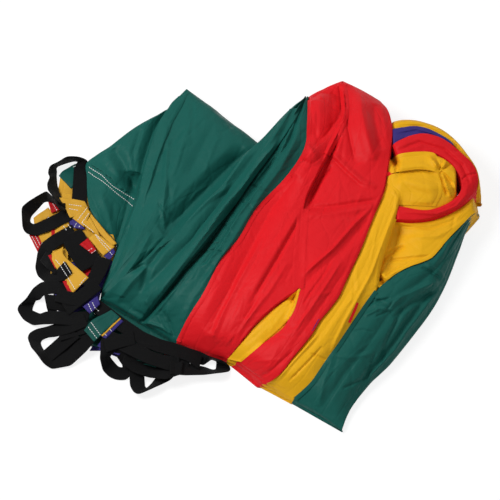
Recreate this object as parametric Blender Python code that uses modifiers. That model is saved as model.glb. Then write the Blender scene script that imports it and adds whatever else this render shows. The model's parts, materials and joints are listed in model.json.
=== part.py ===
"""Play parachute laid out as a loose folded bundle: gores flaked into long lobes, a turned-back roll,
and the gathered hem with its webbing handles. Metres, +Z up, standing on Z = 0."""

import math

import bmesh
import bpy
import numpy as np
from mathutils import Vector

# Driving sizes of the bundle as it lies.
SPREAD = 0.765            # outermost handle on the left to the roll on the right
LOFT = 0.095              # height of the folded cloth where it is fullest
SEAM_GAP = 0.0009         # between the lobes of two gores, where their seam is folded down
REST_GAP = 0.0004         # under what lies on the floor or on another piece

# Webbing of the handles, and the turned hem that they are sewn to.
WEBBING_WIDTH = 0.025
WEBBING_THICKNESS = 0.0016
WEBBING_STEP = 0.011      # between two cross-sections of a handle
SEWN_OVERLAP = 0.008      # of a handle's free end on its hem
LIFT_SETBACK = 0.002      # from the free ends of a handle back to the line that it lifts about
LEG_GAP = 0.003           # between the two ends of one handle
EDGE_RUN = 0.008          # how far a handle runs on level past the edge of its hem
HEM_WIDTH = 0.026
HEM_THICKNESS = 0.0014
PLEAT_RADIUS = 0.0022     # half the height from one ply of a folded strip to the next
HEM_PLIES = 3
HANDLE_PLIES = 2          # of a handle folded flat
TURN_STEPS = 3            # cross-sections round one fold of a strip

# The tables below are read off a picture taken from above. A row is (across, down, height):
# pixels of the picture, and the height above the floor as a share of LOFT.
VIEW_ELEVATION = math.radians(60)
LEFT_PX = 20
RIGHT_PX = 482
MIDDLE_ACROSS_PX = 251.3
MIDDLE_DOWN_PX = 265.4
PIXEL = SPREAD / (RIGHT_PX - LEFT_PX)
SEEN_LOFT_PX = 57.4       # how tall the full LOFT looks from the side at the picture's scale

# How a lobe's cross-section is shaped.
CURVE_STEPS = 12          # fine points between two rows of a table
LOWEST_SHARE = 0.05       # no lobe gets thinner than this share of LOFT
FULL_SHARE = 0.5          # crown and folds are at their full size where a lobe is this high
SHOULDER_POWER = 2.4      # how long the top stays high before it drops to the lower rail
CROWN_POWER = 0.8
FOLD_POWER = 1.3
FOLD_EDGE_POWER = 0.5     # how fast a fold dies out towards a rail
END_SHARE = 0.3           # of the height that is left at the very end of a lobe
SHARP_EDGE = math.radians(50)

GREEN = ("green_nylon", (0.012, 0.130, 0.098), 0.5)
RED = ("red_nylon", (0.750, 0.012, 0.020), 0.5)
YELLOW = ("yellow_nylon", (0.850, 0.440, 0.010), 0.5)
BLUE = ("blue_nylon", (0.045, 0.035, 0.300), 0.5)
BLACK = ("black_webbing", (0.006, 0.006, 0.007), 0.7)

# Rails between the lobes, from the front of the bundle to its back: stations, then the rows.
RAILS_PX_SHARES = {
    "flap_edge": (15, (
        (113, 262, 0.10), (116, 244, 0.10), (103, 208, 0.12), (90, 178, 0.12), (86, 161, 0.15),
        (103, 150, 0.20), (136, 125, 0.30), (160, 113, 0.35))),
    "first_fold": (19, (
        (102, 289, 0.15), (112, 264, 0.25), (126, 228, 0.30), (135, 205, 0.32), (142, 178, 0.35),
        (151, 142, 0.40), (163, 113, 0.42), (185, 89, 0.40))),
    "ridge": (24, (
        (100, 300, 0.12), (112, 288, 0.40), (128, 272, 0.65), (145, 260, 0.75), (161, 246, 0.80),
        (177, 234, 0.80), (190, 217, 0.80), (206, 200, 0.80), (220, 187, 0.80), (232, 171, 0.80),
        (244, 154, 0.80), (260, 140, 0.75), (287, 111, 0.60), (304, 97, 0.50))),
    "green_red": (24, (
        (176, 344, 0.12), (190, 316, 0.50), (204, 294, 0.70), (222, 260, 0.80), (240, 238, 0.80),
        (257, 209, 0.80), (287, 177, 0.80), (305, 149, 0.80), (308, 126, 0.75), (310, 99, 0.55))),
    "sliver_left": (9, (
        (226, 360, 0.12), (240, 342, 0.50), (256, 322, 0.70), (277, 303, 0.80), (298, 288, 0.85))),
    "sliver_right": (9, (
        (234, 363, 0.12), (252, 350, 0.50), (283, 326, 0.70), (292, 307, 0.80), (298, 288, 0.85))),
    "slit": (16, (
        (298, 288, 0.85), (300, 250, 0.85), (303, 212, 0.85), (308, 192, 0.90), (329, 150, 0.95),
        (345, 115, 0.90), (343, 84, 0.60))),
    "red_yellow": (24, (
        (260, 383, 0.12), (276, 375, 0.45), (292, 355, 0.65), (310, 333, 0.75), (320, 317, 0.78),
        (335, 299, 0.80), (344, 281, 0.80), (360, 247, 0.80), (371, 219, 0.80), (384, 189, 0.80),
        (388, 167, 0.80), (391, 149, 0.80), (393, 129, 0.75), (388, 111, 0.65), (378, 101, 0.55))),
    "yellow_green": (11, (
        (291, 399, 0.12), (310, 382, 0.40), (326, 359, 0.50), (333, 350, 0.55), (361, 309, 0.60),
        (376, 288, 0.65))),
    "strip_panel": (6, ((376, 288, 0.65), (380, 262, 0.68), (394.5, 219, 0.72))),
    "strip_top": (5, (
        (394.5, 219, 0.72), (398, 206, 0.75), (401, 195, 0.75), (399, 180, 0.75), (395, 163, 0.75))),
    "panel_green": (14, (
        (376, 288, 0.65), (394, 273, 0.62), (412, 264, 0.60), (430, 257, 0.58), (447, 238, 0.55),
        (466, 219, 0.50), (478, 207, 0.45))),
    "right_edge": (24, (
        (341, 428, 0.08), (350, 407, 0.10), (371, 381, 0.10), (390, 363, 0.10), (426, 318, 0.12),
        (443, 290, 0.12), (457, 257, 0.15), (468, 230, 0.20), (481, 208, 0.25))),
    "band_front": (9, (
        (394.5, 219, 0.72), (408, 220, 0.70), (425, 219, 0.68), (443, 214, 0.66), (464, 203, 0.62),
        (476, 190, 0.60))),
    "band_side": (5, ((476, 190, 0.60), (478, 178, 0.68), (474, 165, 0.75), (463, 154, 0.80))),
    "band_back": (8, (
        (463, 154, 0.80), (452, 144, 0.82), (438, 136, 0.85), (418, 133, 0.85), (395, 143, 0.85))),
    "band_inside": (20, (
        (403, 207, 0.72), (423, 210, 0.70), (439, 207, 0.68), (454, 199, 0.68), (461, 188, 0.70),
        (459, 175, 0.75), (452, 164, 0.78), (441, 156, 0.80), (428, 153, 0.80), (412, 156, 0.80),
        (398, 159, 0.80))),
    "blue_edge": (8, (
        (463, 154, 0.75), (453, 142, 0.75), (435, 132, 0.76), (417, 126.5, 0.76), (396, 129, 0.76))),
    "outer_edge": (12, (
        (482, 197, 0.35), (480, 181, 0.45), (476, 168, 0.50), (462, 146, 0.55), (445, 130, 0.58),
        (425, 122.5, 0.60), (408, 120, 0.60), (396, 122, 0.60))),
}

# The gathered cloth behind the hems: its outer edges, all at one height.
GATHER_SHARE = 0.12
GATHER_LEFT_PX = ((50, 262), (48, 245), (48, 225), (50, 205), (56, 192), (68, 184))
GATHER_CORNER_PX = ((50, 262), (48, 276), (50, 292), (56, 306), (66, 318))
GATHER_FRONT_PX = ((66, 318), (80, 336), (100, 351), (130, 364), (158, 371), (184, 376))
FRONT_STATIONS = 7

# The gathered hem of each gore: its name, its cloth, and the pixels where its pleats start and end.
# A handle leaves its hem on the right, seen from where the pleats start.
HEMS_PX = {
    "yellow_hem_1": (YELLOW, (92, 205), (58, 201)),
    "red_hem_1": (RED, (60, 216), (60, 245)),
    "yellow_hem_2": (YELLOW, (60, 249), (60, 278)),
    "blue_hem_1": (BLUE, (61, 282), (68, 310)),
    "green_hem_1": (GREEN, (72, 317), (96, 337)),
    "blue_hem_2": (BLUE, (100, 341), (127, 352)),
    "green_hem_2": (GREEN, (133, 353.5), (163, 361.5)),
    "red_hem_2": (RED, (176, 377), (173, 349)),
    "yellow_hem_3": (YELLOW, (87, 222), (100, 250)),
    "red_hem_3": (RED, (86, 258), (88, 286)),
    "blue_hem_3": (BLUE, (83, 290), (86, 308)),
    "green_hem_3": (GREEN, (100, 314), (124, 328)),
}
ON_HEM_SHARE = GATHER_SHARE + (REST_GAP + 2 * PLEAT_RADIUS * (HEM_PLIES - 1) + HEM_THICKNESS) / LOFT

# Handles in open loops: the hem, then rows of (across, down, lower edge's height share, lean in degrees).
LOOPS_PX_SHARES = {
    "handle_1": ("yellow_hem_1", (
        (79, 175, 0.14, 0), (79, 166, 0.05, -20), (73, 157.5, 0, -70), (63, 157, 0, -75), (54, 163, 0, -65),
        (50.5, 172, 0.03, -35), (53, 180, 0.14, -5))),
    "handle_2": ("red_hem_1", (
        (41, 209, 0.17, 0), (35.5, 204, 0.06, -20), (28, 207, 0, -65), (24, 217, 0, -75), (28, 227, 0, -65),
        (34, 231, 0.04, -30), (42, 233, 0.16, -5))),
    "handle_3": ("yellow_hem_2", (
        (44, 252, 0.15, -5), (38, 255, 0.05, -40), (34, 263, 0, -75), (35, 272, 0, -70),
        (39, 277, 0.04, -35), (44, 275, 0.15, -5))),
    "handle_4": ("blue_hem_1", (
        (45, 292, 0.15, -5), (36, 297, 0.05, -35), (26, 304, 0, -70), (23, 312, 0, -78), (30, 318.5, 0, -60),
        (38, 317, 0.05, -30), (48, 311, 0.15, -5))),
    "handle_5": ("green_hem_1", (
        (64, 330, 0.15, -5), (53, 334, 0.05, -30), (42, 339, 0, -65), (37, 348, 0, -78), (46, 357, 0, -70),
        (57, 360, 0, -55), (68, 357, 0.06, -30), (77, 348, 0.16, -5))),
    "handle_6": ("blue_hem_2", (
        (99, 357, 0.14, -5), (98.5, 366, 0.04, -35), (102, 374, 0, -72), (110, 379, 0, -78),
        (118, 374, 0, -70), (118.5, 366, 0.05, -30), (117, 361, 0.15, -5))),
    "handle_7": ("green_hem_2", (
        (135.5, 369, 0.13, -5), (135, 377, 0.04, -40), (138.5, 386, 0, -72), (148, 391, 0, -78),
        (158, 387, 0, -70), (158, 379, 0.04, -35), (154.5, 373, 0.14, -5))),
    "handle_8": ("red_hem_2", (
        (195, 372, 0.12, -20), (203, 376, 0.02, -55), (214, 376, 0, -72), (220, 371, 0, -78),
        (215, 366, 0, -75), (204, 362, 0.04, -60), (194, 357, 0.14, -20))),
}

# Handles folded flat: the pixels where their plies start and end, and the height share they lie at.
FOLDED_HANDLES_PX_SHARES = (
    ("handle_9", (95, 236), (87, 272), ON_HEM_SHARE),
    ("handle_10", (87, 279), (86, 304), ON_HEM_SHARE),
    ("handle_11", (98, 311), (126, 328), ON_HEM_SHARE),
    ("handle_12", (132, 330), (158, 343.5), GATHER_SHARE),
)


def clear_scene():
    for old in list(bpy.data.objects):
        bpy.data.objects.remove(old, do_unlink=True)


def material(spec):
    """The Principled material of that name, made once."""
    name, colour, roughness = spec
    made = bpy.data.materials.get(name)
    if made is None:
        made = bpy.data.materials.new(name)
        made.use_nodes = True
        shader = made.node_tree.nodes["Principled BSDF"]
        shader.inputs["Base Color"].default_value = (*colour, 1.0)
        shader.inputs["Roughness"].default_value = roughness
        shader.inputs["Metallic"].default_value = 0.0
    return made


def collection(name):
    made = bpy.data.collections.get(name)
    if made is None:
        made = bpy.data.collections.new(name)
        bpy.context.scene.collection.children.link(made)
    return made


def spot(across, down, share, lift=0.0):
    """The point that shows at a pixel: its height is a share of LOFT, and it may be lifted a little more."""
    up = MIDDLE_DOWN_PX - down - share * SEEN_LOFT_PX * math.cos(VIEW_ELEVATION)
    depth = up * PIXEL / math.sin(VIEW_ELEVATION)
    return np.array([(across - MIDDLE_ACROSS_PX) * PIXEL, depth, share * LOFT + lift])


def unit(vector):
    return vector / np.linalg.norm(vector)


def smooth(points, count=None, step=None):
    """Rows evenly along the Catmull-Rom curve through the given rows: count rows, or one every step."""
    points = np.asarray(points, float)
    ends = np.vstack([2 * points[0] - points[1], points, 2 * points[-1] - points[-2]])
    fine = []
    for a, b, c, d in zip(ends, ends[1:], ends[2:], ends[3:]):
        for t in np.linspace(0, 1, CURVE_STEPS, endpoint=False):
            fine.append(0.5 * (2 * b + (c - a) * t + (2 * a - 5 * b + 4 * c - d) * t ** 2
                               + (3 * b - a - 3 * c + d) * t ** 3))
    fine = np.array([*fine, points[-1]])
    run = np.concatenate([[0], np.cumsum(np.linalg.norm(np.diff(fine[:, :3], axis=0), axis=1))])
    if count is None:
        count = max(round(run[-1] / step), 2) + 1
    at = np.linspace(0, run[-1], count)
    return np.stack([np.interp(at, run, fine[:, k]) for k in range(fine.shape[1])], axis=1)


def rail(table, count):
    """count points evenly along the edge of a lobe, from a table of pixels and height shares."""
    return smooth([spot(*row) for row in table], count)


def join(*runs):
    """Rails joined end to end, each starting where the last one stops."""
    return np.vstack([runs[0], *(run[1:] for run in runs[1:])])


def pulled_in(run):
    """The rail with its two ends drawn in along it by half a seam gap."""
    run = np.array(run, float)
    for end, beside in ((0, 1), (-1, -2)):
        run[end] += unit(run[beside] - run[end]) * SEAM_GAP / 2
    return run


def add_object(name, rows, closed_rings, finish, origin=(0.0, 0.0, 0.0)):
    """An object whose faces join each row of points to the next, with its origin at a given place."""
    mesh = bpy.data.meshes.new(name)
    bm = bmesh.new()
    rings = [[bm.verts.new(Vector(point) - Vector(origin)) for point in row] for row in rows]
    for one, two in zip(rings, rings[1:]):
        count = len(one)
        for i in range(count if closed_rings else count - 1):
            j = (i + 1) % count
            bm.faces.new((one[i], two[i], two[j], one[j]))
    if closed_rings:
        bm.faces.new(rings[0])
        bm.faces.new(list(reversed(rings[-1])))
        if bm.calc_volume(signed=True) < 0:
            bmesh.ops.reverse_faces(bm, faces=bm.faces)
    bm.to_mesh(mesh)
    bm.free()
    mesh.shade_smooth()
    mesh.set_sharp_from_angle(angle=SHARP_EDGE)
    mesh.materials.append(material(finish))
    obj = bpy.data.objects.new(name, mesh)
    obj.location = origin
    collection("play_parachute").objects.link(obj)
    return obj


def end_height(t, round_off_shares):
    """The share of its height that a lobe keeps at a share t of its length, rounding down at both ends."""
    kept = 1.0
    for reach, away in zip(round_off_shares, (t, 1 - t)):
        if away < reach:
            kept *= END_SHARE + (1 - END_SHARE) * math.sqrt(1 - (1 - away / reach) ** 2)
    return kept


def lobe(name, left, right, finish, columns, crown_share=0.0, fold_shares=(), rail_shares=(1.0, 1.0),
         round_off_shares=(0.03, 0.08)):
    """A gore flaked into a long lobe between two rails, standing on the floor.

    crown_share is how much higher its middle stands, as a share of LOFT. fold_shares holds rows of (place
    across at the start, at the end, height, half width). rail_shares scales the heights of the two rails.
    round_off_shares gives the parts of the length over which the lobe rounds down at its start and end.
    """
    left, right = pulled_in(left), pulled_in(right)
    rings = []
    for i, t in enumerate(np.linspace(0, 1, len(left))):
        inset = unit(right[i, :2] - left[i, :2]) * SEAM_GAP / 2
        a, b = left[i, :2] + inset, right[i, :2] - inset
        za, zb = left[i, 2] * rail_shares[0], right[i, 2] * rail_shares[1]
        low, high = min(za, zb), max(za, zb)
        full = min(1.0, high / (FULL_SHARE * LOFT))
        ring = [(*a, 0.0)]
        for u in np.linspace(0, 1, columns + 1):
            from_high = u if za >= zb else 1 - u
            bulge = math.sin(math.pi * min(u, 1 - u))
            z = low + (high - low) * (1 - from_high ** SHOULDER_POWER)
            z += crown_share * LOFT * full * bulge ** CROWN_POWER
            for at_start, at_end, height, half in fold_shares:
                off = abs(u - at_start - (at_end - at_start) * t) / half
                if off < 1:
                    z += height * LOFT * full * (1 - off) ** FOLD_POWER * bulge ** FOLD_EDGE_POWER
            ring.append((*(a + (b - a) * u), max(z * end_height(t, round_off_shares), LOWEST_SHARE * LOFT)))
        ring.append((*b, 0.0))
        rings.append(ring)
    return add_object(name, rings, True, finish)


def strip(name, centres, sides, width, thickness, finish, origin=(0.0, 0.0, 0.0)):
    """A flat strip along centres, as wide as width along each unit vector of sides."""
    rows = [[c - s * width / 2, c + s * width / 2] for c, s in zip(centres, sides)]
    obj = add_object(name, rows, False, finish, origin)
    solidify = obj.modifiers.new("thickness", "SOLIDIFY")
    solidify.thickness = thickness
    solidify.offset = 0
    return obj


def hem_frame(name):
    """The middle of a hem, the way along it and the way out of it, level with a handle lying on it."""
    _, start_px, end_px = HEMS_PX[name]
    start, end = (spot(*pixel, GATHER_SHARE) for pixel in (start_px, end_px))
    along = unit(end - start)
    middle = (start + end) / 2
    middle[2] = ON_HEM_SHARE * LOFT + REST_GAP + WEBBING_THICKNESS / 2
    return middle, along, np.array([along[1], -along[0], 0.0])


def lift_axis(hem):
    """What a loop lifts about: a point behind its two free ends, and the direction that lifts it."""
    middle, along, out = hem_frame(hem)
    return middle + out * (HEM_WIDTH / 2 - SEWN_OVERLAP - LIFT_SETBACK), -along


def loop(name, hem, table):
    """An open webbing handle, from one end on its hem, through the rows of its table, to the other end."""
    middle, along, out = hem_frame(hem)
    tip = out * (HEM_WIDTH / 2 - SEWN_OVERLAP)
    edge = out * (HEM_WIDTH / 2 + EDGE_RUN)
    leg = along * (WEBBING_WIDTH + LEG_GAP) / 2
    points = [[*(middle - leg + tip), 0.0], [*(middle - leg + edge), 0.0]]
    for across, down, share, lean in table:
        raised = WEBBING_WIDTH / 2 * abs(math.sin(math.radians(lean)))
        points.append([*spot(across, down, share, REST_GAP + WEBBING_THICKNESS / 2 + raised), lean])
    points += [[*(middle + leg + edge), 0.0], [*(middle + leg + tip), 0.0]]
    run = smooth(points, step=WEBBING_STEP)
    centres = run[:, :3]
    sides = []
    for tangent, lean in zip(np.gradient(centres, axis=0), np.radians(run[:, 3])):
        level = unit(np.array([-tangent[1], tangent[0], 0.0]))
        upright = np.cross(unit(tangent), level)
        sides.append(level * math.cos(lean) + upright * math.sin(lean))
    return strip(name, centres, sides, WEBBING_WIDTH, WEBBING_THICKNESS, BLACK, lift_axis(hem)[0])


def folded(name, start_px, end_px, share, plies, width, thickness, finish):
    """A strip laid back and forth in flat plies between two pixels, its base at a height share."""
    start, end = (spot(*pixel, share, REST_GAP + thickness / 2) for pixel in (start_px, end_px))
    forward = unit(end - start)
    level = np.array([-forward[1], forward[0], 0.0])
    up = np.array([0.0, 0.0, PLEAT_RADIUS])
    centres = []
    for ply in range(plies):
        near, far, turned = (start, end, forward) if ply % 2 == 0 else (end, start, -forward)
        turned = turned * PLEAT_RADIUS
        centres += [near + turned + 2 * ply * up, far - turned + 2 * ply * up]
        if ply < plies - 1:
            middle = far - turned + (2 * ply + 1) * up
            for step in range(1, TURN_STEPS + 1):
                angle = math.pi * step / (TURN_STEPS + 1) - math.pi / 2
                centres.append(middle + turned * math.cos(angle) + up * math.sin(angle))
    return strip(name, centres, [level] * len(centres), width, thickness, finish)


def build_lobes(rails):
    """The folded gores from left to right, up to the right-hand edge of the bundle."""
    lobe("green_gore_hem_flap", rails["flap_edge"], rails["first_fold"][2:17], GREEN, 6,
         crown_share=0.08, rail_shares=(1, 0.8))
    lobe("green_gore_left", rails["first_fold"], rails["ridge"][:19], GREEN, 10,
         crown_share=0.08, rail_shares=(1, 0.55), fold_shares=((0.45, 0.35, 0.10, 0.2),))
    lobe("green_gore_middle", rails["ridge"], rails["green_red"], GREEN, 12, crown_share=0.05,
         fold_shares=((0.30, 0.25, -0.20, 0.14), (0.62, 0.55, -0.20, 0.14), (0.46, 0.42, 0.08, 0.14)))
    lobe("red_gore_left", rails["green_red"], join(rails["sliver_left"], rails["slit"]), RED, 12,
         crown_share=0.06, fold_shares=((0.35, 0.30, -0.12, 0.2), (0.8, 0.75, 0.08, 0.2)))
    lobe("red_gore_right", join(rails["sliver_right"], rails["slit"]), rails["red_yellow"], RED, 12,
         crown_share=0.06, rail_shares=(0.93, 1),
         fold_shares=((0.30, 0.35, -0.15, 0.2), (0.65, 0.6, 0.06, 0.2)))
    lobe("yellow_gore_sliver", rails["sliver_left"][:-1], rails["sliver_right"][:-1], YELLOW, 3,
         crown_share=0.03, rail_shares=(0.9, 0.9), round_off_shares=(0.02, 0.0))
    strip_right = join(rails["yellow_green"], rails["strip_panel"], rails["strip_top"])
    lobe("yellow_gore_strip", rails["red_yellow"][:len(strip_right)], strip_right, YELLOW, 6,
         crown_share=0.05, rail_shares=(0.92, 1))
    lobe("yellow_gore_panel", join(rails["strip_panel"], rails["band_front"])[1:], rails["panel_green"][1:],
         YELLOW, 6, crown_share=0.04, rail_shares=(0.85, 1))
    lobe("green_gore_right", join(rails["yellow_green"], rails["panel_green"]), rails["right_edge"],
         GREEN, 12, crown_share=0.05, rail_shares=(0.95, 1),
         fold_shares=((0.5, 0.45, -0.12, 0.15), (0.8, 0.8, 0.06, 0.12)))


def build_roll(rails):
    """The gores rolled back on themselves at the right."""
    inside = rails["band_inside"]
    half = len(inside) // 2 - 1
    lobe("red_gore_roll", inside, join(rails["band_front"], rails["band_side"], rails["band_back"]), RED, 5,
         crown_share=0.08)
    lobe("yellow_gore_core", inside[:half], inside[:-half - 1:-1], YELLOW, 8,
         crown_share=0.10, rail_shares=(0.85, 0.9), fold_shares=((0.6, 0.5, -0.15, 0.2),))
    lobe("blue_gore_roll", rails["band_back"][1:], rails["blue_edge"][1:], BLUE, 4,
         crown_share=0.02, rail_shares=(0.9, 1))
    lobe("yellow_gore_roll", join(rails["band_side"], rails["blue_edge"]), rails["outer_edge"], YELLOW, 4,
         crown_share=0.03, rail_shares=(0.9, 1))


def build_gathers(rails):
    """The low gathered cloth that the hems lie on, seated against the front ends of the lobes."""
    first_fold, ridge_start, seam_start = rails["first_fold"], rails["ridge"][0], rails["green_red"][0]
    corner = np.array([rails["flap_edge"][0], first_fold[2], first_fold[1], first_fold[0], ridge_start])
    front = np.linspace(ridge_start, seam_start, FRONT_STATIONS)
    for name, table, inner, finish in (("yellow_gore_gather", GATHER_LEFT_PX, rails["flap_edge"][:8], YELLOW),
                                       ("blue_gore_gather", GATHER_CORNER_PX, corner, BLUE),
                                       ("green_gore_gather", GATHER_FRONT_PX, front, GREEN)):
        outer = rail([(*pixel, GATHER_SHARE) for pixel in table], len(inner))
        level = np.array(inner)
        level[:, 2] = GATHER_SHARE * LOFT
        lobe(name, outer, level, finish, 2, round_off_shares=(0.0, 0.0))


def build_hems():
    for name, (finish, start, end) in HEMS_PX.items():
        folded(name, start, end, GATHER_SHARE, HEM_PLIES, HEM_WIDTH, HEM_THICKNESS, finish)


def build_handles():
    for name, (hem, table) in LOOPS_PX_SHARES.items():
        loop(name, hem, table)
    for name, start, end, share in FOLDED_HANDLES_PX_SHARES:
        folded(name, start, end, share, HANDLE_PLIES, WEBBING_WIDTH, WEBBING_THICKNESS, BLACK)


def build():
    clear_scene()
    rails = {name: rail(table, stations) for name, (stations, table) in RAILS_PX_SHARES.items()}
    build_lobes(rails)
    build_roll(rails)
    build_gathers(rails)
    build_hems()
    build_handles()


if __name__ == "__main__":
    build()
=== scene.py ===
"""Play parachute as it lies folded: its gores, hems and handles as cloth and webbing over the frame."""

import json
import math

import bmesh
import bpy
import numpy as np
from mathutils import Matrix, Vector, noise
from mathutils.bvhtree import BVHTree


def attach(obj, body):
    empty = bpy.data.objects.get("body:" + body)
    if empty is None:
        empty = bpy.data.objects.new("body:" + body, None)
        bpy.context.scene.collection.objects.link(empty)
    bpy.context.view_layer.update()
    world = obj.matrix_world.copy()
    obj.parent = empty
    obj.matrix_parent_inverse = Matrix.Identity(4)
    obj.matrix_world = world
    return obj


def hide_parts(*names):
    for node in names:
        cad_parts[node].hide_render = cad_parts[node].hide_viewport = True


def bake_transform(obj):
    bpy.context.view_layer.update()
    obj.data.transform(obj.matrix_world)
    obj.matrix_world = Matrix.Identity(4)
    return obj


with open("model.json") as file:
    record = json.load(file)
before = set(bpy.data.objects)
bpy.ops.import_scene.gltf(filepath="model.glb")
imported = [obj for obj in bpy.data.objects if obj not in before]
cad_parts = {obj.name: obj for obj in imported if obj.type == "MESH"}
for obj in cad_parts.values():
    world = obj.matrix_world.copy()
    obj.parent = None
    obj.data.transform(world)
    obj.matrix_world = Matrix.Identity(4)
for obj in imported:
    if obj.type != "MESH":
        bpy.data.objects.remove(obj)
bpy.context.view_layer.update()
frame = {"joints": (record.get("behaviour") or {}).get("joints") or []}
bpy.ops.object.select_all(action="DESELECT")

# The picture that the object is laid out by: its scale, its middle, and the angle it was taken from.
PIXEL = 0.765 / 462
MIDDLE_ACROSS_PX = 251.3
MIDDLE_DOWN_PX = 265.4
VIEW_ELEVATION = math.radians(60)
VIEW = np.array([0, -math.cos(VIEW_ELEVATION), math.sin(VIEW_ELEVATION)])
PICTURE_WIDTH_PX = 500
LOFT = 0.095              # height of the folded cloth where it is fullest
SEAM_GAP = 0.0009

# How a lobe's cross-section is shaped.
CURVE_STEPS = 12          # of a fine curve, between two rows
LOWEST_SHARE = 0.05
FULL_SHARE = 0.5
SHOULDER_POWER = 2.4
CROWN_POWER = 1.1
FOLD_POWER = 1.2
FOLD_EDGE_POWER = 0.5
END_SHARE = 0.3           # of its height that a lobe keeps at an end
BACK_END_SHARE = 0.85     # the same at the back of the bundle, where the folds stand up
BACK_ENDS = (END_SHARE, BACK_END_SHARE)
NOSE_ANGLES = (35, 65, 86)
FRONT_NOSE_SHARE = 0.2    # of a nose's reach, at an end that faces the front
FREE_BORDER = 0.05        # of a lobe's width, over which its cloth is held by its edge

# Cloth.
CREASE_POWER = 1.2        # 1 makes a crease's flanks flat, more hollows them
CREASE_GAIN = 1.5
CREASE_FADE = 6           # a crease fades out over one part in six of its run at each end
LAP_REACH_MM = 7          # how wide the leaning edge of a lapped fold is
LAP_LEAN_MM = 4
LAP_WIDEST_MM = 20        # wider laps only tilt the cloth
LAP_HOLLOW = 0.35         # how deep and how wide, as shares, the cloth sinks beside a lap
LAP_DRAWN_BACK = 0.6
CREASE_SPLIT_MM = 9       # creases as wide as this are there before the cloth slackens
SCATTER_DENSITY = 1 / 450     # small creases to a square pixel
SCATTER_HALF_MM = (2.5, 6.5)
SCATTER_SLOPES = (0.04, 0.18)
TUCK_SHARE = 0.16
FOLD_KEPT = 0.45          # of the even folds, where the traced creases take their place
SCATTER_LENGTH_PX = (12, 46)
SCATTER_ROWS = 40
SCATTER_ACROSS = (0.08, 0.92)
SCATTER_TURN = 0.4
SCATTER_BEND_PX = 1.2
ALONG_STEP = 0.0036
ACROSS_STEP = 0.0032
WALL_STEP = 0.0050
NOSE = 0.005              # how far a rounded end reaches past the last row
MOST_TURNED_UNDER = 0.008
FLARE = 0.0008            # how far neighbouring lobes press into each other below their edges
PLY_PITCH = 0.0105        # from one folded edge to the next down the side of a lobe
PLY_DEPTH = 0.0018
PLY_WANDER = ((9, 0, 1.3), (30, 7, 0.35))     # of those edges: how fine, a shift, and how far in plies
RIPPLE_DEPTH = 0.0006
RIPPLE_FINENESS = (22, 55)

# Webbing and hems, as in the frame.
WEBBING_WIDTH = 0.025
WEBBING_THICKNESS = 0.0016
HEM_WIDTH = 0.026
HEM_THICKNESS = 0.0014
PLEAT_RADIUS = 0.0018     # of the pleats as they lie pressed by the handles
PLEAT_SHIFT = 0.0016      # how far a pleat may stand out past the others
HEM_TRIM = 0.08           # of a hem's length that its pleats stop short at each end
REST_GAP = 0.0004
GATHER_TOP = 0.0114
BEND_RUN = 0.008          # past the line that a handle lifts about
CORNER_PASSES = 2         # how far the folds of the webbing are rounded
STRIP_STEP = 0.0025
STRIP_CUP = 0.0007        # how far a strip of webbing cups across its width
PLEAT_CUP = 0.0008
PLY_STEP = 0.0022
PLY_WAVE = 0.0007

GREEN = (0.0078, 0.097, 0.079)
RED = (0.740, 0.0095, 0.0155)
YELLOW = (0.860, 0.440, 0.009)
BLUE = (0.042, 0.030, 0.190)
BLACK = (0.0032, 0.0032, 0.0035)
THREAD = (0.80, 0.80, 0.78)
TWO_PLY_SHADED_HEM_YELLOW = (0.62, 0.330, 0.030)     # darker than the yellow: partly the deeper colour of a turned hem's two plies, partly painted shade where the hems lie in the heap
# How much darker the hems' cloth is painted than its gore: partly its two plies, partly painted shade of the
# heap.
HEM_TWO_PLY_AND_PAINTED_SHADE = 0.75

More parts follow.
